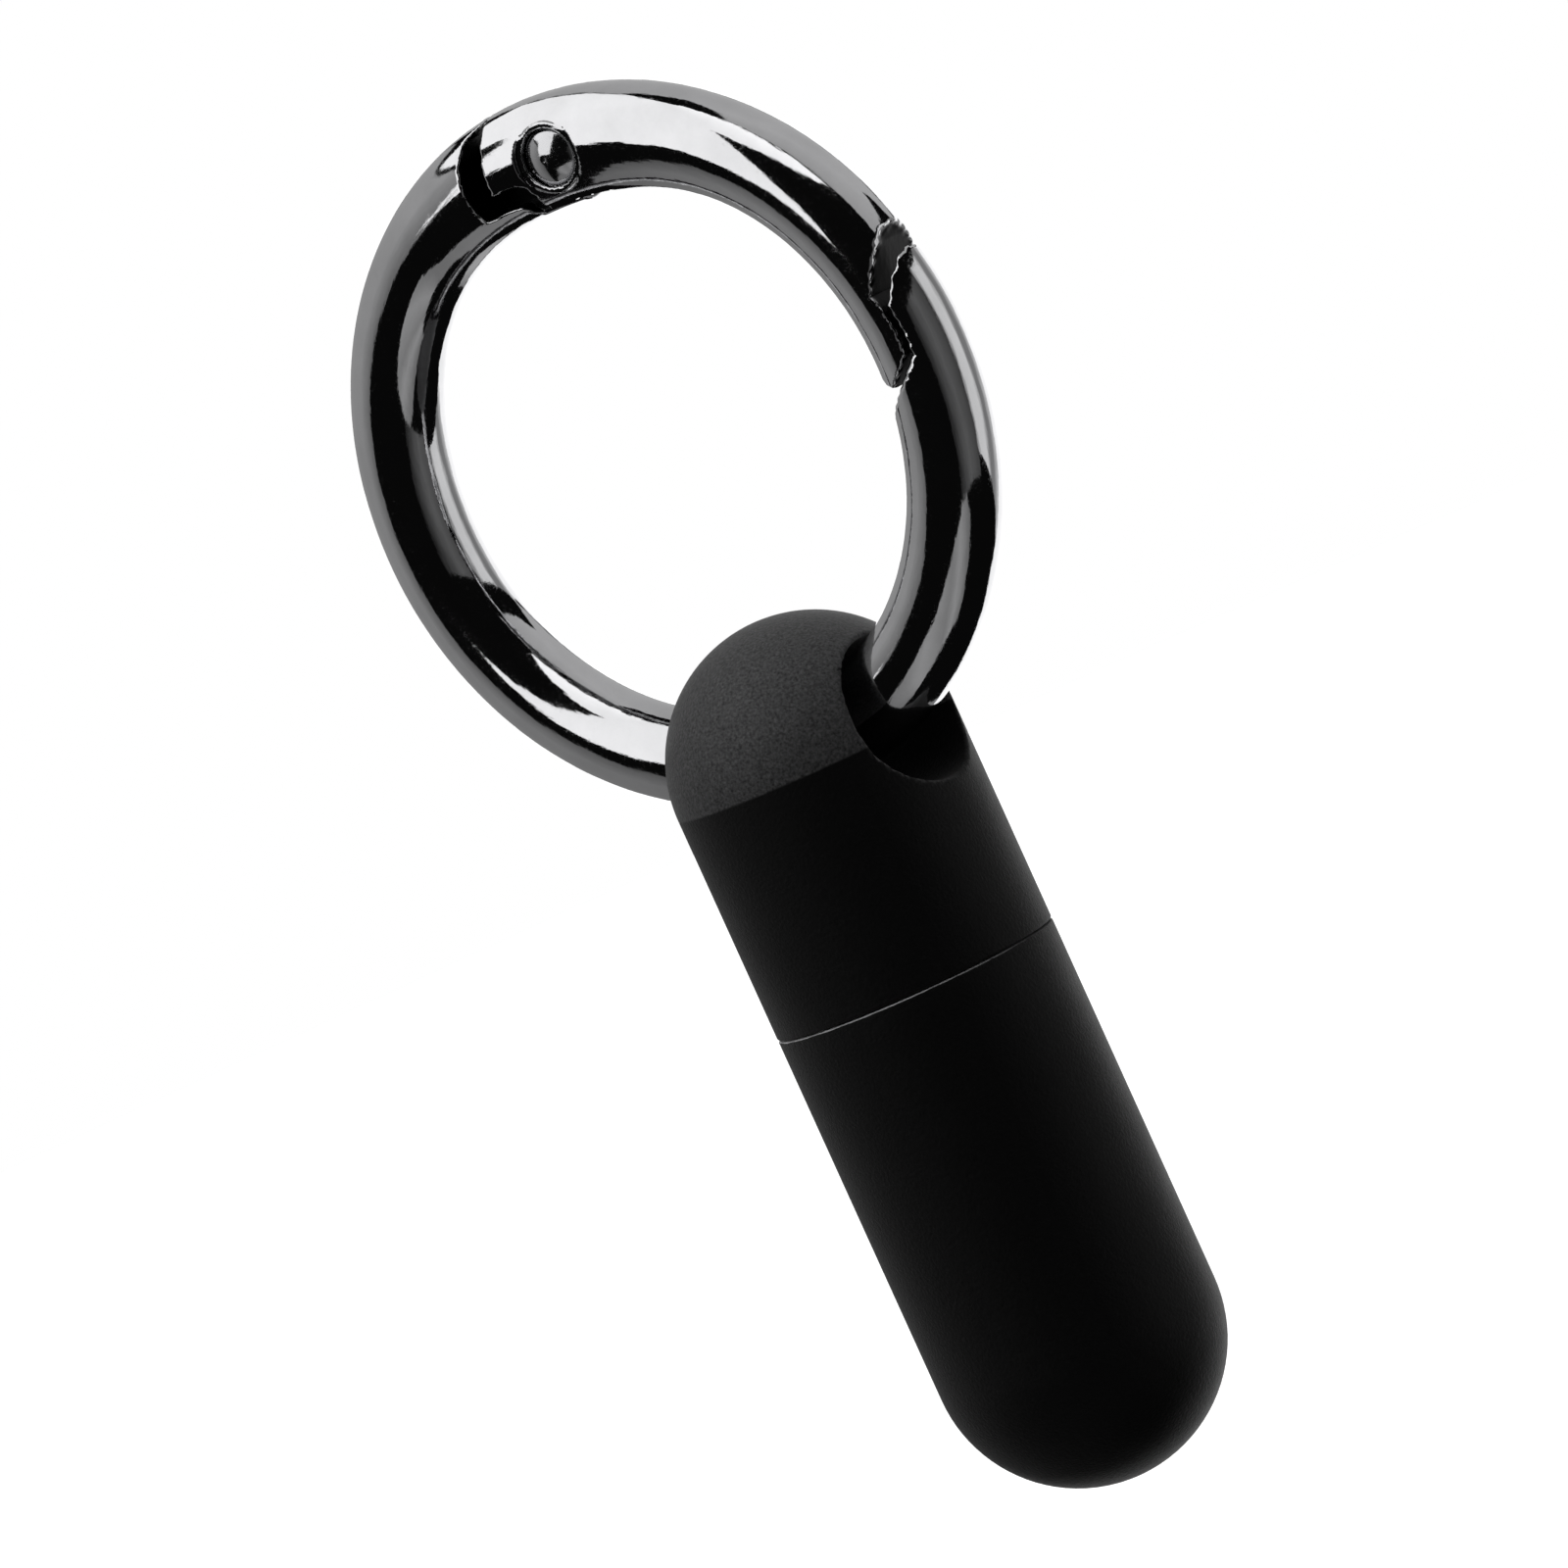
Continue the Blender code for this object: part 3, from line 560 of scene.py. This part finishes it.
def tube(name, path, radius, sides=12):
    """A round wire through (x, y, z) points, with flat ends."""
    path = [Vector(p) for p in path]
    points = []
    side = None
    for i, place in enumerate(path):
        along = (path[min(i + 1, len(path) - 1)] - path[max(i - 1, 0)]).normalized()
        if side is None:
            side = along.orthogonal().normalized()
        side = (side - along * side.dot(along)).normalized()
        other = along.cross(side)
        for j in range(sides):
            angle = tau * j / sides
            points.append(tuple(place + (side * cos(angle) + other * sin(angle)) * radius))
    faces = grid_faces(len(path), sides, wrap_columns=True)
    faces.append(tuple(range(sides))[::-1])
    faces.append(tuple(range(len(points) - sides, len(points))))
    return mesh_object(name, points, faces)


# ---------------------------------------------------------------- materials


class Nodes:
    """A material's node tree, with short calls for the nodes it uses."""

    def __init__(self, name):
        self.material = bpy.data.materials.new(name)
        self.material.use_nodes = True
        self.tree = self.material.node_tree
        self.shader = self.tree.nodes["Principled BSDF"]
        self.place = self.tree.nodes.new("ShaderNodeTexCoord").outputs["Object"]

    def set(self, **values):
        for key, value in values.items():
            self.shader.inputs[key.replace("_", " ")].default_value = value

    def link(self, output, target):
        self.tree.links.new(output, target)
        return output

    def stretched(self, scale):
        node = self.tree.nodes.new("ShaderNodeMapping")
        node.inputs["Scale"].default_value = scale
        self.link(self.place, node.inputs["Vector"])
        return node.outputs["Vector"]

    def noise(self, scale, detail=2.0, roughness=0.5, vector=None, distortion=0.0):
        node = self.tree.nodes.new("ShaderNodeTexNoise")
        node.inputs["Scale"].default_value = scale
        node.inputs["Detail"].default_value = detail
        node.inputs["Roughness"].default_value = roughness
        node.inputs["Distortion"].default_value = distortion
        self.link(vector or self.place, node.inputs["Vector"])
        return node.outputs["Fac"]

    def cells(self, scale, vector=None):
        node = self.tree.nodes.new("ShaderNodeTexVoronoi")
        node.inputs["Scale"].default_value = scale
        self.link(vector or self.place, node.inputs["Vector"])
        return node.outputs["Distance"]

    def range(self, value, low, high, to_low, to_high):
        node = self.tree.nodes.new("ShaderNodeMapRange")
        node.inputs["From Min"].default_value = low
        node.inputs["From Max"].default_value = high
        node.inputs["To Min"].default_value = to_low
        node.inputs["To Max"].default_value = to_high
        self.link(value, node.inputs["Value"])
        return node.outputs["Result"]

    def math(self, operation, a, b):
        node = self.tree.nodes.new("ShaderNodeMath")
        node.operation = operation
        for slot, value in zip(node.inputs, (a, b)):
            if isinstance(value, (int, float)):
                slot.default_value = value
            else:
                self.link(value, slot)
        return node.outputs[0]

    def attribute(self, name):
        node = self.tree.nodes.new("ShaderNodeAttribute")
        node.attribute_name = name
        return node.outputs["Fac"]

    def mixed(self, factor, first, second):
        """The first colour, an output, turning into the second, a plain colour, as the factor goes to 1."""
        node = self.tree.nodes.new("ShaderNodeMix")
        node.data_type = "RGBA"
        self.link(factor, node.inputs["Factor"])
        self.link(first, node.inputs["A"])
        node.inputs["B"].default_value = (*second, 1.0)
        return node.outputs["Result"]

    def ring_coordinates(self, squeeze):
        """Coordinates along the ring's bar, out from its centre and across, the first one squeezed."""
        place = self.tree.nodes.new("ShaderNodeSeparateXYZ")
        self.link(self.place, place.inputs[0])
        x, y, z = place.outputs
        out = self.math("SQRT", self.math("ADD", self.math("MULTIPLY", x, x), self.math("MULTIPLY", z, z)), 0)
        turn = self.math("MULTIPLY", self.math("ARCTAN2", x, z), RING_MID_R * MM * squeeze)
        joined = self.tree.nodes.new("ShaderNodeCombineXYZ")
        for slot, value in zip(joined.inputs, (turn, out, y)):
            self.link(value, slot)
        return joined.outputs[0]

    def axis(self, name):
        node = self.tree.nodes.new("ShaderNodeSeparateXYZ")
        self.link(self.place, node.inputs[0])
        return node.outputs[name]

    def ramp(self, value, *stops):
        node = self.tree.nodes.new("ShaderNodeValToRGB")
        ramp = node.color_ramp
        while len(ramp.elements) < len(stops):
            ramp.elements.new(0.5)
        for element, (place, colour) in zip(ramp.elements, stops):
            element.position = place
            element.color = (*colour, 1.0)
        self.link(value, node.inputs["Fac"])
        return node.outputs["Color"]

    def bump(self, height, depth, below=None):
        """depth is the height in millimetres that a change of 1 in the value stands for."""
        node = self.tree.nodes.new("ShaderNodeBump")
        node.inputs["Strength"].default_value = 1.0
        node.inputs["Distance"].default_value = depth * MM
        self.link(height, node.inputs["Height"])
        if below is not None:
            self.link(below, node.inputs["Normal"])
        return node.outputs["Normal"]


def dark_nickel(name, tint, roughness):
    """Dark nickel plate over a polished casting: a mirror with ripples and polishing lines along the bar."""
    n = Nodes(name)
    n.set(Metallic=1.0)
    cut = n.attribute("cut")
    along = n.ring_coordinates(0.22)
    cloud = n.noise(420, detail=4, roughness=0.6)
    fine = n.noise(6500, detail=2)
    low = tuple(c * 0.9 for c in tint)
    plate = n.ramp(cloud, (0.3, low), (0.7, tint))
    # The cut faces' near-black colour is painted shade in the gaps, slots and recesses, on top of their
    # rougher finish.
    n.link(n.mixed(cut, plate, UNPOLISHED_AND_SHADED), n.shader.inputs["Base Color"])
    spread = n.range(cloud, 0.3, 0.75, roughness * 0.7, roughness * 1.4)
    spread = n.math("ADD", spread, n.range(fine, 0.55, 0.72, 0.0, roughness * 1.5))
    spread = n.math("ADD", spread, n.math("MULTIPLY", cut, 0.3))
    n.link(spread, n.shader.inputs["Roughness"])
    ripples = n.bump(n.noise(1500, detail=2, vector=along), RIPPLE_DEPTH)
    lines = n.bump(n.noise(5200, detail=3, roughness=0.6, vector=along), LINE_DEPTH, ripples)
    n.link(n.bump(fine, 0.0004, lines), n.shader.inputs["Normal"])
    return n.material


def black_anodised(name, bare_and_highlit_edge_z=None, blasted_and_lit_above_z=None):
    """Aluminium dyed black with a fine grain from blasting and faint turning lines.

    An edge height, if given, gets a thin bare-aluminium line round it: partly bare metal, partly a painted
    highlight, most of it on one side.
    Above a dome height, if given, the colour is far paler and lets the metal's shine through: partly a finish
    from blasting, partly painted light on the top that faces the lamps.
    """
    n = Nodes(name)
    n.set(IOR=DYED_IOR, Sheen_Weight=0.12, Sheen_Roughness=0.45)
    grain = n.noise(7000, detail=3, roughness=0.65)
    pits = n.cells(5200)
    blotch = n.noise(180, detail=3)
    turning = n.noise(3000, detail=2, vector=n.stretched((0.04, 0.04, 1)))
    height = n.axis("Z")
    colour = n.ramp(grain, (0.3, DYE_DARK), (0.75, DYE_PALE))
    if blasted_and_lit_above_z is not None:
        # The dome's far paler colour is partly its finish from blasting and partly painted light where the
        # dome faces the lamps.
        blasted_and_lit = n.range(height, (blasted_and_lit_above_z - 0.05) * MM, (blasted_and_lit_above_z + 0.05) * MM, 0.0, 1.0)
        speckled_and_lit = n.ramp(grain, (0.3, BLASTED_AND_LIT_DARK), (0.75, BLASTED_AND_LIT_PALE))
        mix = n.tree.nodes.new("ShaderNodeMix")
        mix.data_type = "RGBA"
        n.link(blasted_and_lit, mix.inputs["Factor"])
        n.link(colour, mix.inputs["A"])
        n.link(speckled_and_lit, mix.inputs["B"])
        colour = mix.outputs["Result"]
        n.link(n.range(blasted_and_lit, 0, 1, 0.0, BLASTED_METAL), n.shader.inputs["Metallic"])
    if bare_and_highlit_edge_z is not None:
        # A thin bare-aluminium line round the edge: partly bare metal, partly a painted highlight.
        from_edge = n.math("ABSOLUTE", n.math("SUBTRACT", height, bare_and_highlit_edge_z * MM), 0)
        unevenness = n.range(n.noise(1400, detail=3), 0.3, 0.7, -0.01 * MM, 0.02 * MM)
        ragged = n.math("ADD", from_edge, unevenness)
        # Painted highlight: the line is full where 0.8 x + 0.6 y is at or below zero, and fades to 0.12 at
        # 5.5 mm along +X +Y.
        side = n.math("ADD", n.math("MULTIPLY", n.axis("X"), 0.8), n.math("MULTIPLY", n.axis("Y"), 0.6))
        at_edge = n.range(ragged, 0.03 * MM, 0.06 * MM, 1.0, 0.0)
        bare_and_highlit = n.math("MULTIPLY", at_edge, n.range(side, 0.0, 5.5 * MM, 1.0, 0.12))
        colour = n.mixed(bare_and_highlit, colour, BARE_ALUMINIUM_HIGHLIGHT)
    n.link(colour, n.shader.inputs["Base Color"])
    matte = n.math("ADD", n.range(grain, 0.3, 0.7, 0.52, 0.64), n.range(blotch, 0.3, 0.7, -0.03, 0.03))
    n.link(matte, n.shader.inputs["Roughness"])
    turned_lines = n.bump(turning, 0.004)
    pitted = n.bump(pits, 0.01, turned_lines)
    n.link(n.bump(grain, 0.03, pitted), n.shader.inputs["Normal"])
    return n.material


def spring_steel(name):
    """Drawn wire: bright, with lines along it."""
    n = Nodes(name)
    n.set(Metallic=1.0)
    lines = n.noise(5000, detail=3, vector=n.stretched((1, 6, 1)))
    n.link(n.ramp(lines, (0.3, (0.28, 0.28, 0.29)), (0.7, (0.42, 0.42, 0.43))), n.shader.inputs["Base Color"])
    n.link(n.range(lines, 0.3, 0.7, 0.22, 0.36), n.shader.inputs["Roughness"])
    n.link(n.bump(lines, 0.002), n.shader.inputs["Normal"])
    return n.material


def black_rubber(name):
    n = Nodes(name)
    n.set(Metallic=0.0, IOR=1.5)
    skin = n.noise(3500, detail=4, roughness=0.6)
    colour = n.ramp(skin, (0.3, (0.011, 0.011, 0.011)), (0.7, (0.022, 0.022, 0.021)))
    n.link(colour, n.shader.inputs["Base Color"])
    n.link(n.range(skin, 0.3, 0.7, 0.5, 0.68), n.shader.inputs["Roughness"])
    n.link(n.bump(skin, 0.004), n.shader.inputs["Normal"])
    return n.material


def light_material(name):
    material = bpy.data.materials.new(name)
    material.use_nodes = True
    tree = material.node_tree
    tree.nodes.remove(tree.nodes["Principled BSDF"])
    strength = tree.nodes.new("ShaderNodeAttribute")
    strength.attribute_name = "glow"
    glow = tree.nodes.new("ShaderNodeEmission")
    tree.links.new(strength.outputs["Fac"], glow.inputs["Strength"])
    tree.links.new(glow.outputs[0], tree.nodes["Material Output"].inputs["Surface"])
    return material


# ---------------------------------------------------------------- pieces


def piece(obj, material, body, node):
    """The piece stands for the CAD node, which it hides, and rides on its body."""
    obj.data.materials.append(material)
    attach(obj, body)
    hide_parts(node)
    return obj


def make_ring_body():
    xs = spaced((-17.7, 0.26), (-5.2, 0.1), (5.6, 0.26), (13.6, 0.1), 17.8)
    zs = spaced((-17.7, 0.26), (-2.5, 0.1), (6.6, 0.26), (11.4, 0.1), 17.8)
    ys = spaced((-2.95, 0.14), 2.95)
    points, normals, quads = net_of(ring_body_field, xs, ys, zs)
    obj = mesh_object("ring_body_polished", points, quads, normals)
    mark_cuts(obj, points)
    return piece(obj, dark_nickel("polished_dark_nickel", NICKEL, 0.05), "ring", "ring_body")


def make_gate():
    xs = spaced((-2.4, 0.08), (5.6, 0.2), (12.0, 0.1), 17.9)
    zs = spaced((-2.6, 0.1), (6.4, 0.2), (11.4, 0.08), 18.0)
    ys = spaced((-2.95, 0.12), 2.95)
    points, normals, quads = net_of(gate_field, xs, ys, zs)
    obj = mesh_object("gate_polished", points, quads, normals)
    mark_cuts(obj, points)
    return piece(obj, dark_nickel("polished_dark_nickel_gate", NICKEL, 0.05), "gate", "gate")


def make_rivet():
    """Turned about Z and then laid along Y: two domed heads, each with the faint dent of its punch."""
    dome_r = (RIVET_DOME_R**2 + RIVET_CROWN**2) / (2 * RIVET_CROWN)
    half = [(0, RIVET_TOP_Y - RIVET_DENT_DEPTH)]
    for i in range(1, 25):
        radius = RIVET_DOME_R * i / 24
        dent = RIVET_DENT_DEPTH * exp(-((radius / RIVET_DENT_R) ** 4))
        half.append((radius, RIVET_TOP_Y - dome_r + sqrt(dome_r**2 - radius**2) - dent))
    half += [(RIVET_DOME_R, RIVET_UNDERSIDE_Y), (PIN_R, RIVET_UNDERSIDE_Y)]
    profile = half + [(radius, -y) for radius, y in reversed(half)]
    obj = turned("hinge_rivet", profile, steps=64)
    obj.data.transform(Matrix.Rotation(-pi / 2, 4, "X"))
    obj.data.transform(Matrix.Translation(Vector((PIN_CENTRE[0], 0, PIN_CENTRE[1])) * MM))
    return piece(obj, dark_nickel("rivet_nickel", RIVET_NICKEL, 0.11), "ring", "hinge_pin")


def coil_point(turn):
    x, z = polar(360 * turn, COIL_R, PIN_CENTRE)
    return (x, COIL_FIRST_Y - COIL_PITCH * turn, z)


def make_spring():
    """Two pieces: the coil with the leg under the ring's lip, and the leg that goes with the gate."""
    steel = spring_steel("spring_wire")
    steps = 36 * COIL_TURNS
    coil = [coil_point(COIL_TURNS * i / steps) for i in range(steps + 1)]
    start = (LEG_TO_RING[0], COIL_FIRST_Y, LEG_TO_RING[1])
    piece(tube("spring_coil", [start, *coil], WIRE_R), steel, "ring", "gate_spring")
    share = GATE_OPEN_ANGLE / 360
    bend = [coil_point(COIL_TURNS - share + share * i / 6) for i in range(7)]
    end = (LEG_TO_GATE[0], coil[-1][1], LEG_TO_GATE[1])
    leg = tube("spring_gate_leg", [*bend, end], LEG_WIRE_R)
    piece(leg, steel, "gate", "gate_spring")


def make_cap():
    side = spaced((-7.2, 0.24), 7.2)
    past_socket = SEAM_Z + SOCKET_TOP + 0.3
    zs = spaced((SEAM_Z - 0.1, 0.04), (SEAM_Z + 0.3, 0.12), (past_socket, 0.24), (-12.0, 0.2), -8.9)
    points, normals, quads = net_of(cap_field, side, side, zs)
    obj = mesh_object("capsule_cap_anodised", points, quads, normals)
    return piece(obj, black_anodised("anodised_cap", blasted_and_lit_above_z=CAP_DOME_BASE_Z), "cap", "capsule_cap")


def spigot_bulge(radius, angle, z):
    """The thread's rib standing out from the spigot."""
    height = z - SEAM_Z
    if radius < SPIGOT_R - 0.01 or radius > SPIGOT_R + 0.01:
        return radius
    along = (height - angle / tau * THREAD_PITCH + THREAD_PITCH / 2) % THREAD_PITCH - THREAD_PITCH / 2
    beyond = max(THREAD_FIRST - height, height - THREAD_LAST, 0)
    inside = THREAD_RIB_R**2 - along**2 - beyond**2
    return radius + sqrt(inside) if inside > 0 else radius


def make_vessel():
    shoulder_z = SEAM_Z - SEAM_GAP / 2
    mouth_z = SEAM_Z + SPIGOT_TOP
    groove_z = SEAM_Z + GROOVE_TOP
    bore_end = dome(BORE_R, VESSEL_DOME_BASE_Z, upward=False, steps=12)
    corners = [
        (BORE_R, mouth_z),
        (SPIGOT_R - SPIGOT_LEAD, mouth_z),
        (SPIGOT_R, mouth_z - SPIGOT_LEAD),
        (SPIGOT_R, groove_z),
        (GROOVE_R, groove_z),
        (GROOVE_R, shoulder_z),
        (CAPSULE_R, shoulder_z),
        (CAPSULE_R, VESSEL_DOME_BASE_Z),
    ]
    # The neck's long straight side gets no points between its ends, so the rib of the thread doesn't show
    # along it: spigot_bulge moves only the points at its top edge.
    shaped = rounded(corners, {1: 0.12, 2: 0.12, 3: 0.1, 4: 0.05, 5: 0.05, 6: SEAM_EDGE_R})
    thread = [p for p in shaped if p[1] > groove_z + 0.2]
    shaft = refined(thread, 0.11)
    rest = [p for p in shaped if p[1] <= groove_z + 0.2]
    profile = bore_end + shaft + refined(rest, 1.2) + dome(CAPSULE_R, VESSEL_DOME_BASE_Z, False, 24)[-2::-1]
    profile[0] = (0, profile[0][1])
    obj = turned("capsule_vessel_anodised", profile, steps=120, bulge=spigot_bulge)
    return piece(obj, black_anodised("anodised_vessel", bare_and_highlit_edge_z=shoulder_z), "vessel", "capsule_vessel")


def make_seal():
    """A moulded ring with the faint flash line of its mould round the outside and inside."""
    steps, sides = 96, 28
    points = []
    for i in range(steps):
        turn = tau * i / steps
        for j in range(sides):
            round_wire = tau * j / sides
            flash = FLASH_HEIGHT * exp(-((sin(round_wire) / FLASH_WIDTH) ** 2))
            r = SEAL_MID_R + (SEAL_WIRE_R + flash) * cos(round_wire)
            z = (SEAL_WIRE_R + flash) * sin(round_wire)
            points.append((r * cos(turn), r * sin(turn), SEAM_Z + SEAL_HEIGHT + z))
    obj = mesh_object("seal_moulded", points, grid_faces(steps, sides, True, True))
    return piece(obj, black_rubber("seal_rubber"), "seal", "seal_ring")


# ---------------------------------------------------------------- studio


def toward(azimuth, elevation):
    """Azimuth 0 looks from the front, -Y, and 90 from +X."""
    a, e = radians(azimuth), radians(elevation)
    return Vector((sin(a) * cos(e), -cos(a) * cos(e), sin(e)))


def level(value, first, last):
    """The same value from the first azimuth to the last."""
    return [(first, value), (last, value)]


def light_card(name, glow, low, high, bottom_share=1.0):
    """A glowing panel on a wide sphere round the object.

    glow, low and high are lists of (azimuth, value) points: how bright it is, and the elevations that it
    lies between. At its bottom edge it is bottom_share as bright as at its top.
    """
    across, up = 60, 16
    points, strengths = [], []
    for i in range(across + 1):
        azimuth = glow[0][0] + (glow[-1][0] - glow[0][0]) * i / across
        bottom = np.interp(azimuth, *zip(*low))
        top = np.interp(azimuth, *zip(*high))
        for j in range(up + 1):
            points.append(toward(azimuth, bottom + (top - bottom) * j / up) * CARD_DISTANCE)
            strengths.append(np.interp(azimuth, *zip(*glow)) * (bottom_share + (1 - bottom_share) * j / up))
    obj = mesh_object(name, [tuple(p) for p in points], grid_faces(across + 1, up + 1))
    attribute = obj.data.attributes.new("glow", "FLOAT", "POINT")
    attribute.data.foreach_set("value", np.array(strengths, np.float32))
    obj.data.materials.append(light_material(name))
    obj.visible_camera = False
    obj.visible_shadow = False
    return obj


def make_studio():
    key_low = [(-130, 42), (-95, 39), (-50, 42), (-46, 8), (-12, 6), (-10, 8), (17, 57), (20, 52), (80, 43)]
    key_glow = [(-130, 1.45), (-45, 1.5), (20, 1.4), (80, 1.7)]
    light_card("key_overhead", key_glow, key_low, level(89.9, -130, 80))
    turns = [pi * i / 16 for i in range(16, -1, -1)]
    panel_top = [(-88 + 45 * cos(turn), 38 * abs(sin(turn)) ** 0.4) for turn in turns]
    panel_low = [(-88 + 45 * cos(turn), -45 * sin(turn)) for turn in turns]
    light_card("left_panel", [(-133, 0.46), (-70, 0.5), (-43, 0.3)], panel_low, panel_top, bottom_share=0.4)
    side_low = [(85, 27), (150, 27), (160, 14), (228, 12)]
    light_card("grey_side", [(85, 0.5), (140, 0.62), (228, 0.52)], side_low, level(74, 85, 228))
    corner_glow = [(98, 0.0), (108, 0.9), (128, 0.95), (138, 0.28), (150, 0.3), (165, 0.9)]
    light_card("grey_corner", corner_glow, [(98, -32), (165, -36)], [(98, 15), (165, 14)])
    light_card("backdrop_glow", level(1.5, 165, 229), level(-42, 165, 229), [(165, 12), (229, 10)])
    right_glow = [(40, 0.02), (70, 0.15), (98, 0.08)]
    light_card("front_right", right_glow, level(-38, 40, 98), [(40, 5), (98, 14)])
    front_low = [(-100, -52), (-30, -50), (-22, -36), (50, -36), (60, -45)]
    front_glow = [(-100, 0.3), (-25, 0.25), (-10, 0.42), (15, 0.3), (30, 0.42), (60, 0.2)]
    light_card("front_low", front_glow, [(-100, -68), (60, -72)], front_low)
    back_glow = [(200, 0.3), (212, 0.55), (228, 0.5)]
    light_card("low_back", back_glow, level(-62, 200, 228), level(-44, 200, 228))

    rim = [(*polar(360 * i / 64, FLOOR_R), FLOOR_Z) for i in range(64)]
    floor_mesh = mesh_object("floor", rim, [range(64)])
    n = Nodes("pale_floor")
    n.set(Base_Color=FLOOR_COLOUR, Emission_Color=(1, 1, 1, 1), Emission_Strength=FLOOR_GLOW)
    n.link(n.range(n.noise(30, detail=3), 0.3, 0.7, 0.85, 0.95), n.shader.inputs["Roughness"])
    floor_mesh.data.materials.append(n.material)
    floor_mesh.visible_glossy = False
    floor_mesh.visible_diffuse = False

    world = bpy.data.worlds.new("studio")
    bpy.context.scene.world = world
    world.use_nodes = True
    tree = world.node_tree
    tree.nodes.clear()
    seen = tree.nodes.new("ShaderNodeLightPath")
    dim = tree.nodes.new("ShaderNodeBackground")
    dim.inputs["Color"].default_value = (1, 1, 1, 1)
    dim.inputs["Strength"].default_value = ROOM_GLOW
    pale = tree.nodes.new("ShaderNodeBackground")
    pale.inputs["Color"].default_value = (1, 1, 1, 1)
    pale.inputs["Strength"].default_value = 1.0
    mix = tree.nodes.new("ShaderNodeMixShader")
    out = tree.nodes.new("ShaderNodeOutputWorld")
    tree.links.new(seen.outputs["Is Camera Ray"], mix.inputs["Fac"])
    tree.links.new(dim.outputs[0], mix.inputs[1])
    tree.links.new(pale.outputs[0], mix.inputs[2])
    tree.links.new(mix.outputs[0], out.inputs["Surface"])
    bpy.context.scene.view_settings.view_transform = "Standard"


def make_camera():
    """A long lens a little above level, rolled so that the keyring leans across the frame."""
    azimuth, elevation, roll = radians(VIEW_AZIMUTH), radians(VIEW_ELEVATION), radians(VIEW_ROLL)
    back = toward(VIEW_AZIMUTH, VIEW_ELEVATION)
    right = Vector((cos(azimuth), sin(azimuth), 0))
    up = back.cross(right)
    image_right = right * cos(roll) - up * sin(roll)
    image_up = right * sin(roll) + up * cos(roll)
    aim = (image_right * VIEW_RIGHT_OF_RING - image_up * VIEW_BELOW_RING) * MM
    camera = bpy.data.cameras.new("camera")
    camera.sensor_width = 36.0
    camera.lens = VIEW_LENS
    camera.clip_start = 0.01
    camera.clip_end = 20.0
    obj = bpy.data.objects.new("camera", camera)
    bpy.context.scene.collection.objects.link(obj)
    rotation = Matrix((image_right, image_up, back)).transposed().to_4x4()
    obj.matrix_world = Matrix.Translation(aim + back * VIEW_DISTANCE * MM) @ rotation
    bpy.context.scene.camera = obj


# Looks: colours are linear.
NICKEL = (0.58, 0.58, 0.59)
RIVET_NICKEL = (0.52, 0.52, 0.53)
CARD_DISTANCE = 1400.0
# Near black for the cut faces: unpolished metal and painted shade.
UNPOLISHED_AND_SHADED = (0.008, 0.008, 0.0083)
RIPPLE_DEPTH = 0.015
LINE_DEPTH = 0.0035
DYE_DARK = (0.0002, 0.0002, 0.0002)
DYE_PALE = (0.0013, 0.0013, 0.0014)
# Dome colours: a finish from blasting, made paler as painted light.
BLASTED_AND_LIT_DARK = (0.02, 0.02, 0.0205)
BLASTED_AND_LIT_PALE = (0.12, 0.12, 0.122)
BLASTED_METAL = 0.4
DYED_IOR = 1.23
# Colour of the seam's line: bare aluminium and painted highlight.
BARE_ALUMINIUM_HIGHLIGHT = (0.45, 0.45, 0.46)
ROOM_GLOW = 0.004
FLOOR_CLEARANCE = 3.0
FLOOR_Z = VESSEL_DOME_BASE_Z - CAPSULE_R - THREAD_TURNS * THREAD_PITCH - FLOOR_CLEARANCE
FLOOR_R = 600.0
FLOOR_GLOW = 0.97
FLOOR_COLOUR = (0.3, 0.3, 0.3, 1.0)

VIEW_AZIMUTH = 36.9
VIEW_ELEVATION = 4.1
VIEW_ROLL = 24.4
VIEW_RIGHT_OF_RING = 5.15
VIEW_BELOW_RING = 15.71
VIEW_DISTANCE = 581.0
VIEW_LENS = 287.3

GATE = gate_outline()
GAP = body_gap_outline()
TONGUE = tongue_outline()
FOOT = foot_outline()
SLOT = slot_outline()
CHANNEL = leg_channel_outline()

make_ring_body()
make_gate()
make_rivet()
make_spring()
make_cap()
make_vessel()
make_seal()
make_studio()
make_camera()
